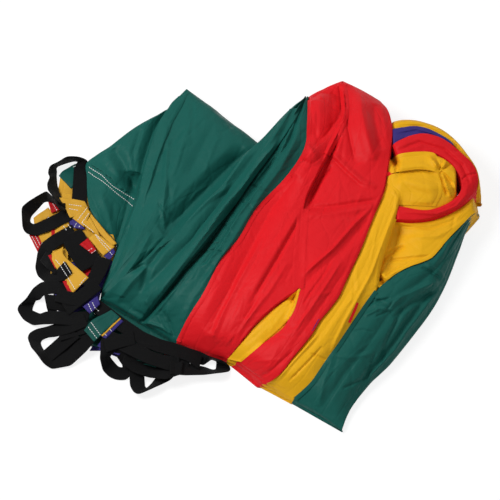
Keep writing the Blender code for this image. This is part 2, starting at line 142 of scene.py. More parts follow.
# Rails between the lobes, from the front of the bundle to its back: stations, then the rows.
RAILS_PX_SHARES = {
    "flap_edge": (15, (
        (113, 262, 0.10), (116, 244, 0.10), (103, 208, 0.12), (90, 178, 0.12), (86, 161, 0.15),
        (103, 150, 0.20), (136, 125, 0.30), (160, 113, 0.35))),
    "first_fold": (19, (
        (102, 289, 0.15), (112, 264, 0.25), (126, 228, 0.30), (135, 205, 0.32), (142, 178, 0.35),
        (151, 142, 0.40), (163, 113, 0.42), (186, 87, 0.40))),
    "ridge": (24, (
        (100, 300, 0.12), (112, 288, 0.40), (128, 272, 0.65), (145, 260, 0.75), (161, 246, 0.80),
        (177, 234, 0.80), (190, 217, 0.80), (206, 200, 0.80), (220, 187, 0.80), (232, 171, 0.80),
        (244, 154, 0.80), (260, 140, 0.75), (287, 111, 0.60), (304, 97, 0.50))),
    "green_red": (24, (
        (176, 344, 0.12), (190, 316, 0.50), (204, 294, 0.70), (222, 260, 0.80), (240, 238, 0.80),
        (257, 209, 0.78), (287, 177, 0.73), (305, 149, 0.70), (308, 126, 0.68), (309, 95, 0.57))),
    "sliver_left": (9, (
        (226, 360, 0.12), (240, 342, 0.50), (256, 322, 0.70), (277, 303, 0.80), (298, 288, 0.85))),
    "sliver_right": (9, (
        (234, 363, 0.12), (252, 350, 0.50), (283, 326, 0.70), (292, 307, 0.80), (298, 288, 0.85))),
    "slit": (16, (
        (298, 288, 0.85), (300, 250, 0.85), (303, 212, 0.85), (308, 192, 0.90), (329, 150, 0.95),
        (345, 115, 0.90), (343, 79, 0.62))),
    "red_yellow": (24, (
        (260, 383, 0.12), (276, 375, 0.45), (292, 355, 0.65), (310, 333, 0.75), (320, 317, 0.78),
        (335, 299, 0.80), (344, 281, 0.80), (360, 247, 0.80), (371, 219, 0.80), (384, 189, 0.80),
        (388, 167, 0.80), (391, 149, 0.80), (393, 129, 0.75), (389, 110, 0.65), (380, 99, 0.58))),
    "yellow_green": (11, (
        (291, 399, 0.12), (310, 382, 0.40), (326, 359, 0.50), (333, 350, 0.55), (361, 309, 0.60),
        (376, 288, 0.65))),
    "strip_panel": (6, ((376, 288, 0.65), (380, 262, 0.68), (394.5, 219, 0.72))),
    "strip_top": (5, (
        (394.5, 219, 0.72), (398, 206, 0.75), (401, 195, 0.75), (399, 180, 0.75), (395, 163, 0.75))),
    "panel_green": (14, (
        (376, 288, 0.65), (394, 273, 0.62), (412, 264, 0.60), (430, 257, 0.58), (447, 238, 0.55),
        (466, 219, 0.50), (478, 207, 0.45))),
    "right_edge": (24, (
        (341, 428, 0.08), (350, 407, 0.10), (371, 381, 0.10), (390, 363, 0.10), (426, 318, 0.12),
        (443, 290, 0.12), (457, 257, 0.15), (466, 233, 0.20), (477, 209, 0.25))),
    "band_front": (9, (
        (394.5, 219, 0.72), (408, 220, 0.70), (425, 219, 0.68), (443, 214, 0.66), (464, 203, 0.62),
        (476, 190, 0.60))),
    "band_side": (5, ((476, 190, 0.60), (478, 178, 0.68), (474, 165, 0.75), (463, 154, 0.80))),
    "band_back": (8, (
        (463, 154, 0.80), (452, 144, 0.82), (438, 136, 0.85), (418, 133, 0.85), (391.5, 143, 0.85))),
    "band_inside": (20, (
        (394.5, 205, 0.72), (423, 210, 0.70), (439, 207, 0.68), (454, 199, 0.68), (461, 188, 0.70),
        (459, 175, 0.75), (452, 164, 0.78), (441, 156, 0.80), (428, 153, 0.80), (412, 156, 0.80),
        (398, 159, 0.80))),
    "blue_edge": (8, (
        (463, 154, 0.75), (453, 142, 0.75), (435, 131, 0.76), (417, 125.5, 0.76), (391.5, 128.5, 0.76))),
    "outer_edge": (12, (
        (482, 197, 0.35), (480, 181, 0.45), (476, 168, 0.50), (462, 146, 0.55), (445, 130, 0.58),
        (425, 121.5, 0.60), (408, 118.5, 0.60), (391.5, 121, 0.60))),
}

# The green flap's left edge as it shows, lying out over the gathered cloth.
FLAP_EDGE_PX_SHARES = (
    (117, 262, 0.16), (118, 246, 0.20), (104, 229, 0.24), (90.5, 212, 0.25), (87, 198, 0.25),
    (86, 178, 0.20), (86, 161, 0.17), (103, 150, 0.20), (136, 125, 0.30), (160, 113, 0.35))

# The gathered cloth behind the hems: its outer edges, all at one height.
GATHER_SHARE = 0.12
GATHER_LEFT_PX = ((50, 262), (48, 245), (48, 225), (50, 205), (57, 189), (59.5, 176.5))
GATHER_CORNER_PX = ((53, 262), (52, 276), (54, 292), (58, 306), (66, 318))
GATHER_FRONT_PX = ((66, 318), (80, 336), (98, 345), (116, 348), (130, 357), (158, 363), (184, 368))
FRONT_STATIONS = 7

# Creases of the cloth: rise and half width in millimetres, then the pixels that the crease runs through.
# A negative rise is a valley. A third number other than zero makes it the edge of a ply that laps over: the
# cloth stands up on the left of the run for 1, on its right for -1.
CREASES = {
    "green_gore_hem_flap": (
        (-7, 15, 0, (113, 148), (122, 162), (130, 178), (136, 194)),
        (-14, 44, 0, (133, 172), (129, 198), (121, 228), (113, 252)),
        (-9, 20, 0, (170, 108), (157, 128), (149, 152), (142, 178), (136, 197)),
        (3.0, 9, 1, (88, 162), (100, 170), (112, 179), (120, 188), (135, 195)),
        (2.5, 10, 0, (104, 152), (112, 166), (120, 180)),
        (-2.0, 7, 0, (140, 128), (133, 150), (134, 172)),
        (2.0, 9, 0, (100, 192), (108, 212), (114, 236)),
    ),
    "green_gore_left": (
        (2.2, 5, 0, (186, 92), (177, 107), (168, 126), (161, 147), (153, 170), (146, 193)),
        (2.5, 6, 0, (168, 122), (157, 157), (149, 182), (142, 206)),
        (2.6, 7, 0, (168, 138), (166, 160), (165, 187), (163, 210), (165, 233)),
        (-1.6, 3, 0, (158, 203), (163, 210), (167, 218)),
        (-13, 24, 0, (246, 150), (220, 175), (198, 197), (182, 214), (162, 232)),
        (-3, 8, 0, (254, 146), (228, 172), (206, 194), (188, 213), (166, 235)),
        (1.8, 14, 0, (192, 112), (180, 150), (174, 182)),
        (-2.0, 12, 0, (215, 122), (200, 150), (188, 175)),
        (-3.0, 8, 0, (130, 225), (122, 252), (112, 278)),
        (3.0, 8, 0, (152, 232), (138, 258), (120, 283)),
        (-2.5, 5, 0, (166, 236), (150, 254), (132, 272)),
    ),
    "green_gore_middle": (
        (5.0, 9, 0, (252, 147), (228, 178), (224, 189), (205, 201), (186, 218), (169, 233), (157, 243),
         (143, 254), (120, 264), (107, 278)),
        (-13, 6, 0, (303, 106), (294, 115), (276, 148), (256, 174), (247, 187), (233, 207), (217, 231),
         (203, 251), (184, 270), (172, 286), (155, 307), (145, 320), (136, 326)),
        (6.0, 10, 0, (296, 103), (268, 146), (246, 177), (224, 206), (208, 230), (190, 256), (174, 276),
         (158, 297)),
        (-5.0, 9, 0, (172, 238), (160, 252), (148, 268), (143, 292)),
        (-4.0, 6, 0, (146, 264), (128, 272), (113, 280), (105, 292)),
        (3.0, 8, 0, (150, 264), (132, 282), (117, 302)),
        (3.0, 9, 0, (302, 128), (281, 168), (263, 192), (245, 220), (227, 250), (209, 276), (193, 300),
         (180, 328)),
        (2.5, 4, 0, (191, 269), (178, 286), (166, 301), (156, 314)),
        (7.0, 30, 1, (294, 122), (277, 156), (260, 184), (238, 214), (220, 244), (203, 266)),
        (-2.2, 3, 0, (248, 185), (258, 187), (270, 193)),
        (-1.8, 3, 0, (240, 200), (249, 205), (255, 213)),
        (-1.8, 3, 0, (217, 221), (226, 226), (232, 234)),
        (-2.2, 3, 0, (200, 253), (212, 250), (224, 253)),
        (-1.6, 2.5, 0, (204, 246), (212, 243), (224, 244)),
        (-2.4, 3, 0, (164, 311), (170, 322), (175, 336)),
        (1.8, 3, 0, (158, 315), (165, 328), (170, 338)),
        (-2.6, 4, 0, (142, 330), (154, 334), (166, 341)),
        (3.0, 5, 0, (146, 322), (160, 326), (174, 334)),
    ),
    "red_gore_left": (
        (15.0, 40, 0, (309, 88), (309, 108), (308.5, 126), (306, 144), (299, 158)),
        (-18.0, 38, 0, (344, 86), (343, 106), (337, 121), (325, 136), (311, 148)),
        (6.0, 15, 1, (345, 110), (341, 123), (328, 139), (314, 151), (302, 164), (291, 178)),
        (-3.0, 7, 0, (312, 97), (322, 92), (333, 93), (342, 98)),
        (-8.0, 24, 0, (297, 176), (272, 208), (255, 240), (240, 270), (226, 302), (210, 332)),
        (3.5, 8, 0, (262, 238), (249, 262), (237, 284), (224, 310), (212, 338)),
        (-3.0, 6, 0, (302, 214), (290, 236), (277, 259), (262, 284), (250, 304)),
        (3.0, 10, 0, (299, 212), (284, 236), (268, 262), (252, 290)),
        (1.8, 6, 0, (287, 262), (270, 290), (250, 316), (232, 340)),
        (-1.6, 5, 0, (262, 290), (246, 316), (230, 344)),
    ),
    "red_gore_right": (
        (-5.0, 20, 0, (343, 84), (346, 112), (351, 138), (357, 166)),
        (-2.4, 4, 0, (342, 84), (345, 112), (350, 138), (355, 162)),
        (5.5, 16, 0, (361, 90), (362, 112), (367, 136), (374, 160)),
        (-4.0, 14, 0, (374, 104), (376, 124), (382, 150)),
        (-9.0, 7, 0, (340, 134), (332, 150), (326, 163), (318, 180), (306, 206)),
        (-4.0, 5, 0, (331, 166), (322, 178), (310, 198)),
        (3.0, 7, 0, (329, 150), (346, 167), (361, 181), (376, 188)),
        (-2.2, 5, 0, (332, 158), (347, 174), (362, 187)),
        (-3.2, 6, 0, (305, 208), (332, 207), (356, 203), (378, 200)),
        (2.4, 8, 0, (306, 215), (332, 214), (358, 210), (374, 206)),
        (-3.5, 12, 0, (374, 214), (362, 226), (338, 254), (313, 275), (299, 292)),
        (3.0, 5, 0, (372, 207), (354, 224), (332, 249), (310, 268), (302, 276)),
        (-2.0, 4, 0, (330, 262), (322, 276), (310, 292), (303, 304)),
        (2.0, 5, 0, (340, 262), (326, 284), (310, 308), (294, 330)),
        (-1.4, 8, 0, (346, 266), (331, 291), (312, 318), (290, 347)),
        (-1.8, 5, 0, (292, 350), (274, 367), (260, 377)),
    ),
    "yellow_gore_sliver": (
        (-1.6, 3, 0, (292, 300), (270, 322), (245, 344)),
        (1.2, 3, 0, (286, 300), (262, 318), (240, 340)),
    ),
    "yellow_gore_strip": (
        (2.5, 5, 0, (390, 186), (397, 197), (395, 209), (380, 248), (371, 272), (358, 296), (345, 319),
         (336, 337), (330, 351)),
        (-1.2, 8, 0, (389, 200), (376, 238), (360, 274), (340, 305), (321, 331), (300, 360)),
        (2.0, 4, 0, (318, 333), (302, 350), (276, 379)),
        (-2.0, 3, 0, (322, 345), (306, 362), (288, 380)),
        (-1.8, 3, 0, (310, 352), (324, 358), (330, 362)),
    ),
    "yellow_gore_panel": (
        (-11.0, 42, 0, (386, 276), (391, 258), (400, 224)),
        (-2.6, 4, 0, (378, 261), (402, 259), (430, 256)),
        (-4.0, 6, 0, (404, 246), (391, 252), (380, 262)),
        (-2.0, 5, 0, (400, 226), (430, 228), (456, 219)),
        (1.6, 6, 0, (408, 238), (438, 236), (466, 220)),
    ),
    "green_gore_right": (
        (-3.2, 4, 0, (421, 267), (430, 272), (440, 279)),
        (1.8, 4, 0, (424, 262), (440, 272), (446, 282)),
        (-3.0, 4, 0, (360, 309), (371, 302), (390, 298)),
        (2.6, 4, 0, (364, 315), (378, 308), (392, 309)),
        (-2.2, 3, 0, (371, 297), (383, 303), (391, 313)),
        (-2.0, 3, 0, (374, 316), (384, 312), (393, 300)),
        (4.0, 8, 0, (388, 307), (400, 297), (417, 289), (437, 281)),
        (-4.0, 8, 0, (392, 317), (410, 303), (438, 290)),
        (4.0, 8, 0, (440, 286), (424, 308), (406, 330), (393, 350), (371, 372), (366, 386)),
        (-4.0, 8, 0, (430, 291), (413, 312), (396, 336), (380, 358), (361, 379)),
        (-3.0, 6, 0, (402, 308), (385, 341), (379, 361)),
        (-1.6, 3, 0, (353, 330), (362, 329), (372, 331)),
        (-2.2, 4, 0, (374, 351), (366, 376), (341, 387)),
        (1.6, 6, 0, (330, 353), (350, 357), (372, 352)),
        (2.2, 8, 0, (334, 349), (323, 380), (318, 404)),
        (-2.0, 6, 0, (441, 263), (455, 250), (470, 229)),
    ),
    "red_gore_roll": (
        (-2.6, 5, 0, (396, 151), (420, 142), (445, 150), (462, 165), (470, 183)),
        (-2.0, 3, 0, (472, 160), (462, 150), (455, 151)),
        (-1.8, 3, 0, (478, 173), (466, 176), (461, 181)),
        (1.8, 4, 0, (402, 212), (436, 214), (456, 206), (468, 192)),
    ),
    "yellow_gore_core": (
        (-4.0, 5, 0, (394, 176), (406, 172), (424, 170), (437, 175)),
        (-5.0, 4, 0, (440, 171), (431, 166), (421, 160)),
        (-4.5, 4, 0, (440, 171), (443, 183), (447, 196)),
        (-4.0, 4, 0, (441, 171), (450, 182), (456, 194)),
        (-4.0, 4, 0, (440, 170), (438, 162), (434, 156)),
        (-3.5, 4, 0, (441, 170), (449, 166), (454, 161)),
        (4.0, 4, 0, (441, 173), (446, 186), (451, 197)),
        (4.0, 4, 0, (438, 168), (434, 162), (428, 156)),
        (3.5, 4, 0, (442, 169), (445, 163), (447, 158)),
        (-2.0, 6, 0, (403, 183), (414, 191), (431, 197)),
        (2.4, 10, 0, (400, 178), (415, 182), (436, 190)),
    ),
    "blue_gore_roll": (
        (-2.2, 3, 0, (397, 134), (417, 130), (440, 138)),
        (1.6, 3, 0, (398, 139), (420, 133), (446, 146)),
    ),
    "yellow_gore_roll": (
        (-2.0, 4, 0, (400, 125), (425, 126), (449, 137), (466, 155), (475, 172)),
        (-2.0, 3, 0, (470, 150), (466, 158)),
    ),
}


# Cloth that lies over the lobes: its colour, how far it puffs up in millimetres, how much of that its second
# edge keeps, and its two edges as runs of pixels.
DRAPES_PX = {
    "green_gore_fold": ("green", 4.0, 1,
        ((187, 92), (181, 106), (173, 120), (168, 132), (162, 146), (155, 166), (148, 190), (141, 204)),
        ((178, 95), (171, 102), (165, 112), (158, 125), (153.5, 141), (146, 160), (140, 184), (134, 198))),
    "green_gore_ridge": ("green", 5.0, 1,
        ((290, 108), (262, 150), (238, 178), (220, 203), (200, 228), (182, 254), (164, 276), (146, 300)),
        ((302.5, 107), (277, 147), (257, 174), (247, 188), (234, 207), (206, 240), (190, 260), (171, 285),
         (151, 310))),
    "red_gore_hood": ("red", 0, 0, ((339, 82), (341, 100), (341, 114), (334, 132), (328, 144), (324, 153)),
                      ((347, 83), (349, 100), (348.5, 116), (341.5, 134), (335, 147), (330, 156))),
    "red_gore_wedge": ("red", 0, 0, ((383.8, 172), (383.8, 178)), ((396, 171.6), (393, 174))),
    "red_gore_tuck": ("red", 0, 0, ((297.5, 209), (295.5, 230), (293.5, 250), (292, 270), (293, 287)),
                      ((309, 209), (307.5, 230), (306, 250), (305, 270), (303.5, 289))),
    "yellow_gore_inset": ("yellow", 0, 0, ((299, 288), (276, 308), (252, 331), (228, 358)),
                          ((300, 289), (290, 316), (263, 342), (241, 361))),
    "blue_gore_peek": ("blue", 0, 0, ((317.2, 318.6), (313.5, 325), (309.6, 331.6)),
                       ((319.6, 317), (318, 322), (314.6, 328))),
    "red_gore_peek": ("red", 0, 0, ((355.8, 301.4), (351.6, 311), (347, 321.4)),
                      ((357.8, 303), (354.6, 311), (349.4, 322.6))),
    "yellow_gore_over": ("yellow", 3.0, 0, ((388, 173.4), (387.5, 184), (396, 192.5), (395.5, 204.8)),
                         ((437.5, 171.6), (441, 184), (441, 195), (435, 206.5))),
    "yellow_gore_lap": ("yellow", 4.0, 0.6, ((392, 158), (401, 153.5), (420, 151.5), (434, 153), (441, 161)),
                        ((388.5, 174), (401, 171.5), (416, 169.5), (430, 170.5), (438.5, 173.8))),
}
DRAPE_STEP_PX = 1.15
DRAPE_PASSES = 10         # how many times a drape is drawn taut over what lies under it
DRAPE_CLEARANCE = 0.00025
DRAPE_THICKNESS = 0.0005
DRAPE_LEAST_HEIGHT = 0.004     # what lies lower isn't part of what carries it
EDGE_ANGLE = math.radians(60)

# The sewn seams between colours: the rail, the stations it runs between, how far it reaches to the left and
# to the right of the rail in pixels, and its colour.
SEAMS = {
    "green_red_seam": ("green_red", 0.3, 22.6, -1.0, 3.4, "red"),
    "red_yellow_seam": ("red_yellow", 0.3, 15.5, -3.4, 1.0, "red"),
    "yellow_green_seam": ("yellow_green", 0.3, 9.8, -1.0, 3.2, "green"),
    "panel_green_seam": ("panel_green", 0.2, 12.4, -3.2, 1.0, "yellow"),
    "strip_fold": ("strip_panel", 0.1, 5.0, -3.4, 1.6, "yellow"),
}

# Each hem: the pixels that it starts and ends at.
HEMS_PX = {
    "yellow_hem_1": ((92, 205), (58, 201)),
    "red_hem_1": ((60, 216), (60, 245)),
    "yellow_hem_2": ((60, 249), (60, 278)),
    "blue_hem_1": ((61, 282), (68, 310)),
    "green_hem_1": ((72, 317), (96, 337)),
    "blue_hem_2": ((100, 341), (127, 352)),
    "green_hem_2": ((133, 353.5), (163, 361.5)),
    "red_hem_2": ((176, 377), (173, 349)),
    "yellow_hem_3": ((87, 222), (100, 250)),
    "red_hem_3": ((86, 258), (88, 286)),
    "blue_hem_3": ((83, 290), (86, 308)),
    "green_hem_3": ((100, 314), (124, 328)),
}

# The hem's loose plies that show, each between two edges: rows of (across, down, height in millimetres).
HEM_PLIES_PX = {
    "yellow_hem_1": (
        (((59, 197.4, 26.5), (72, 199, 27.5), (84.6, 201.2, 27)),
         ((70, 218, 25.5), (80, 215, 26.5), (89.6, 211.6, 26.5))),
        (((72.4, 218.4, 26.5), (78, 212, 28.5), (84.2, 205.6, 29)),
         ((84, 227, 26), (88, 219, 27.5), (90.6, 212.5, 28))),
        (((33, 217.6, 3), (40, 212.6, 6), (48, 207.4, 10)),
         ((34, 225, 2), (44, 220, 6), (52, 214, 10))),
        (((38, 234.4, 6), (50, 228, 17), (60, 224, 22), (69, 220, 22)),
         ((41.6, 243, 5), (50, 239, 15), (60, 236, 22), (70, 232, 22))),
    ),
    "yellow_hem_3": (
        (((89.6, 211.6, 27), (103, 228, 26.5), (117, 243.7, 26)),
         ((90.4, 219, 26), (97, 229.5, 25.5), (112, 246.5, 25))),
        (((90, 217, 27), (97, 229, 27.5), (100, 236, 27)),
         ((79.5, 221.5, 26), (88, 229, 26.5), (96, 234, 26.5))),
        (((102, 334.8, 27.6), (120.6, 317, 29)), ((104, 336, 27.4), (122, 318.2, 28.6))),
        (((96.1, 233, 28.5), (106, 240, 28.5), (115.2, 246.8, 27.5)),
         ((88.8, 237.6, 27.5), (96, 247, 28), (103.8, 256, 27.5))),
    ),
    "yellow_hem_2": (
        (((50.6, 255.2, 27), (56.7, 267.8, 27.5), (66, 280.8, 28), (73.5, 293, 28)),
         ((63.6, 246.5, 28), (64.3, 255, 29), (76, 266, 29.5), (89.4, 277.6, 29.5))),
    ),
    "red_hem_3": (
        (((80, 244.5, 28), (88.4, 237.6, 28.4)), ((92.3, 253.8, 28), (97, 250, 28))),
    ),
    "red_hem_1": (
        (((47.6, 201.4, 15), (51.3, 213.2, 15)), ((53.4, 202.2, 16), (59.8, 209.6, 16))),
        (((28.8, 234.6, 1.5), (38, 252.6, 1.5)), ((39.2, 233, 3), (42.2, 242, 3))),
        (((48.6, 255.6, 26.2), (56, 268.8, 26.4)), ((52, 254.4, 26.6), (58.6, 266.8, 27))),
        (((63.4, 281.6, 27.2), (70.6, 294.6, 27.2)), ((67.6, 280.2, 27.6), (74.6, 292.4, 27.6))),
    ),
    "blue_hem_3": (
        (((84, 306.4, 29.5), (91, 301, 30.3), (98.2, 295.6, 30)),
         ((90.7, 313.3, 29), (96, 309, 29.5), (101, 303.8, 29.5))),
        (((103.6, 255.8, 27), (109.9, 260.8, 26.5)), ((113.4, 247.4, 27.4), (115.6, 252.1, 27))),
    ),
    "green_hem_3": (
        (((85.4, 329.6, 28), (92.3, 320.6, 29), (103, 314.4, 30), (112.2, 309.6, 29.5)),
         ((95.3, 340.9, 27.5), (102.2, 334.6, 28), (111, 326, 29.5), (120.8, 316.6, 29))),
        (((58, 175.4, 12.4), (62, 170.8, 9), (73, 164, 2.4), (80, 162, 1)),
         ((70.6, 188.6, 13), (74, 184.4, 14), (80, 178, 12), (84, 170, 4))),
    ),
    "blue_hem_2": (
        (((90.5, 350, 2), (96.5, 341.6, 8)), ((101.6, 350, 2), (101, 340, 8))),
        (((102.6, 335.6, 26.6), (121.4, 318, 28)), ((107, 338.2, 26), (124.4, 320.6, 27))),
    ),
    "blue_hem_1": (
        (((66.4, 211, 23.6), (68, 219, 23.4), (71.6, 227.4, 23.2)),
         ((75, 214, 25), (80, 222, 25), (85.4, 229.4, 24.6))),
    ),
}
# The white stitching that shows, each row a run of pixels.
STITCHES_PX = (
    ((68.5, 204.3), (81.6, 206.2)), ((68.6, 208.5), (78.2, 210.4)),
    ((77.6, 220.4), (87.4, 207.2)), ((82, 222.6), (88.8, 213.2)),
    ((81.5, 222.4), (92, 230.4), (101, 242), (112.9, 255.2)), ((96, 234.5), (111.5, 249.5)),
    ((74.3, 227.6), (76.8, 222.8)), ((77.7, 229.7), (80, 225.6)),
    ((88.4, 250.8), (95.2, 246.8)), ((91.4, 253.4), (96.4, 250.1)),
    ((52.2, 203), (56.8, 210.8)), ((31.6, 236), (39.4, 250)), ((35, 235.4), (40.4, 245.6)),
    ((63.2, 225.7), (67, 230.7)), ((67.8, 224.2), (70.9, 228.4)),
    ((60.4, 264.6), (69, 278)), ((63.8, 261.4), (72.4, 275)), ((56, 259.6), (60.4, 264.6)),
    ((69, 278), (76, 289.6)), ((80.2, 285.2), (86.6, 277.4)),
    ((88.2, 301.2), (92.3, 310), (96.1, 314.4)), ((92.1, 299.6), (96.1, 307.7), (100.2, 311)),
    ((89.2, 326.1), (98.4, 338)), ((92.1, 321.7), (101.8, 334.6)),
    ((106, 333), (108, 335.6)), ((111, 328.4), (113, 331)),
)
FLAP_STITCHES_PX = (
    ((88, 166.6), (94, 170.6), (100.5, 174.4), (104, 177.6), (108, 182), (113, 186.4), (122, 192),
     (134, 199.4)),
    ((87.6, 171.6), (94, 176.2), (103, 181.6), (111, 188.4), (118, 194.6), (126, 200.4), (132.6, 206.4)),
)
CORNER_STITCHES_PX = (((69.8, 165.4), (76, 163)), ((71.4, 167), (75.4, 165.4)))

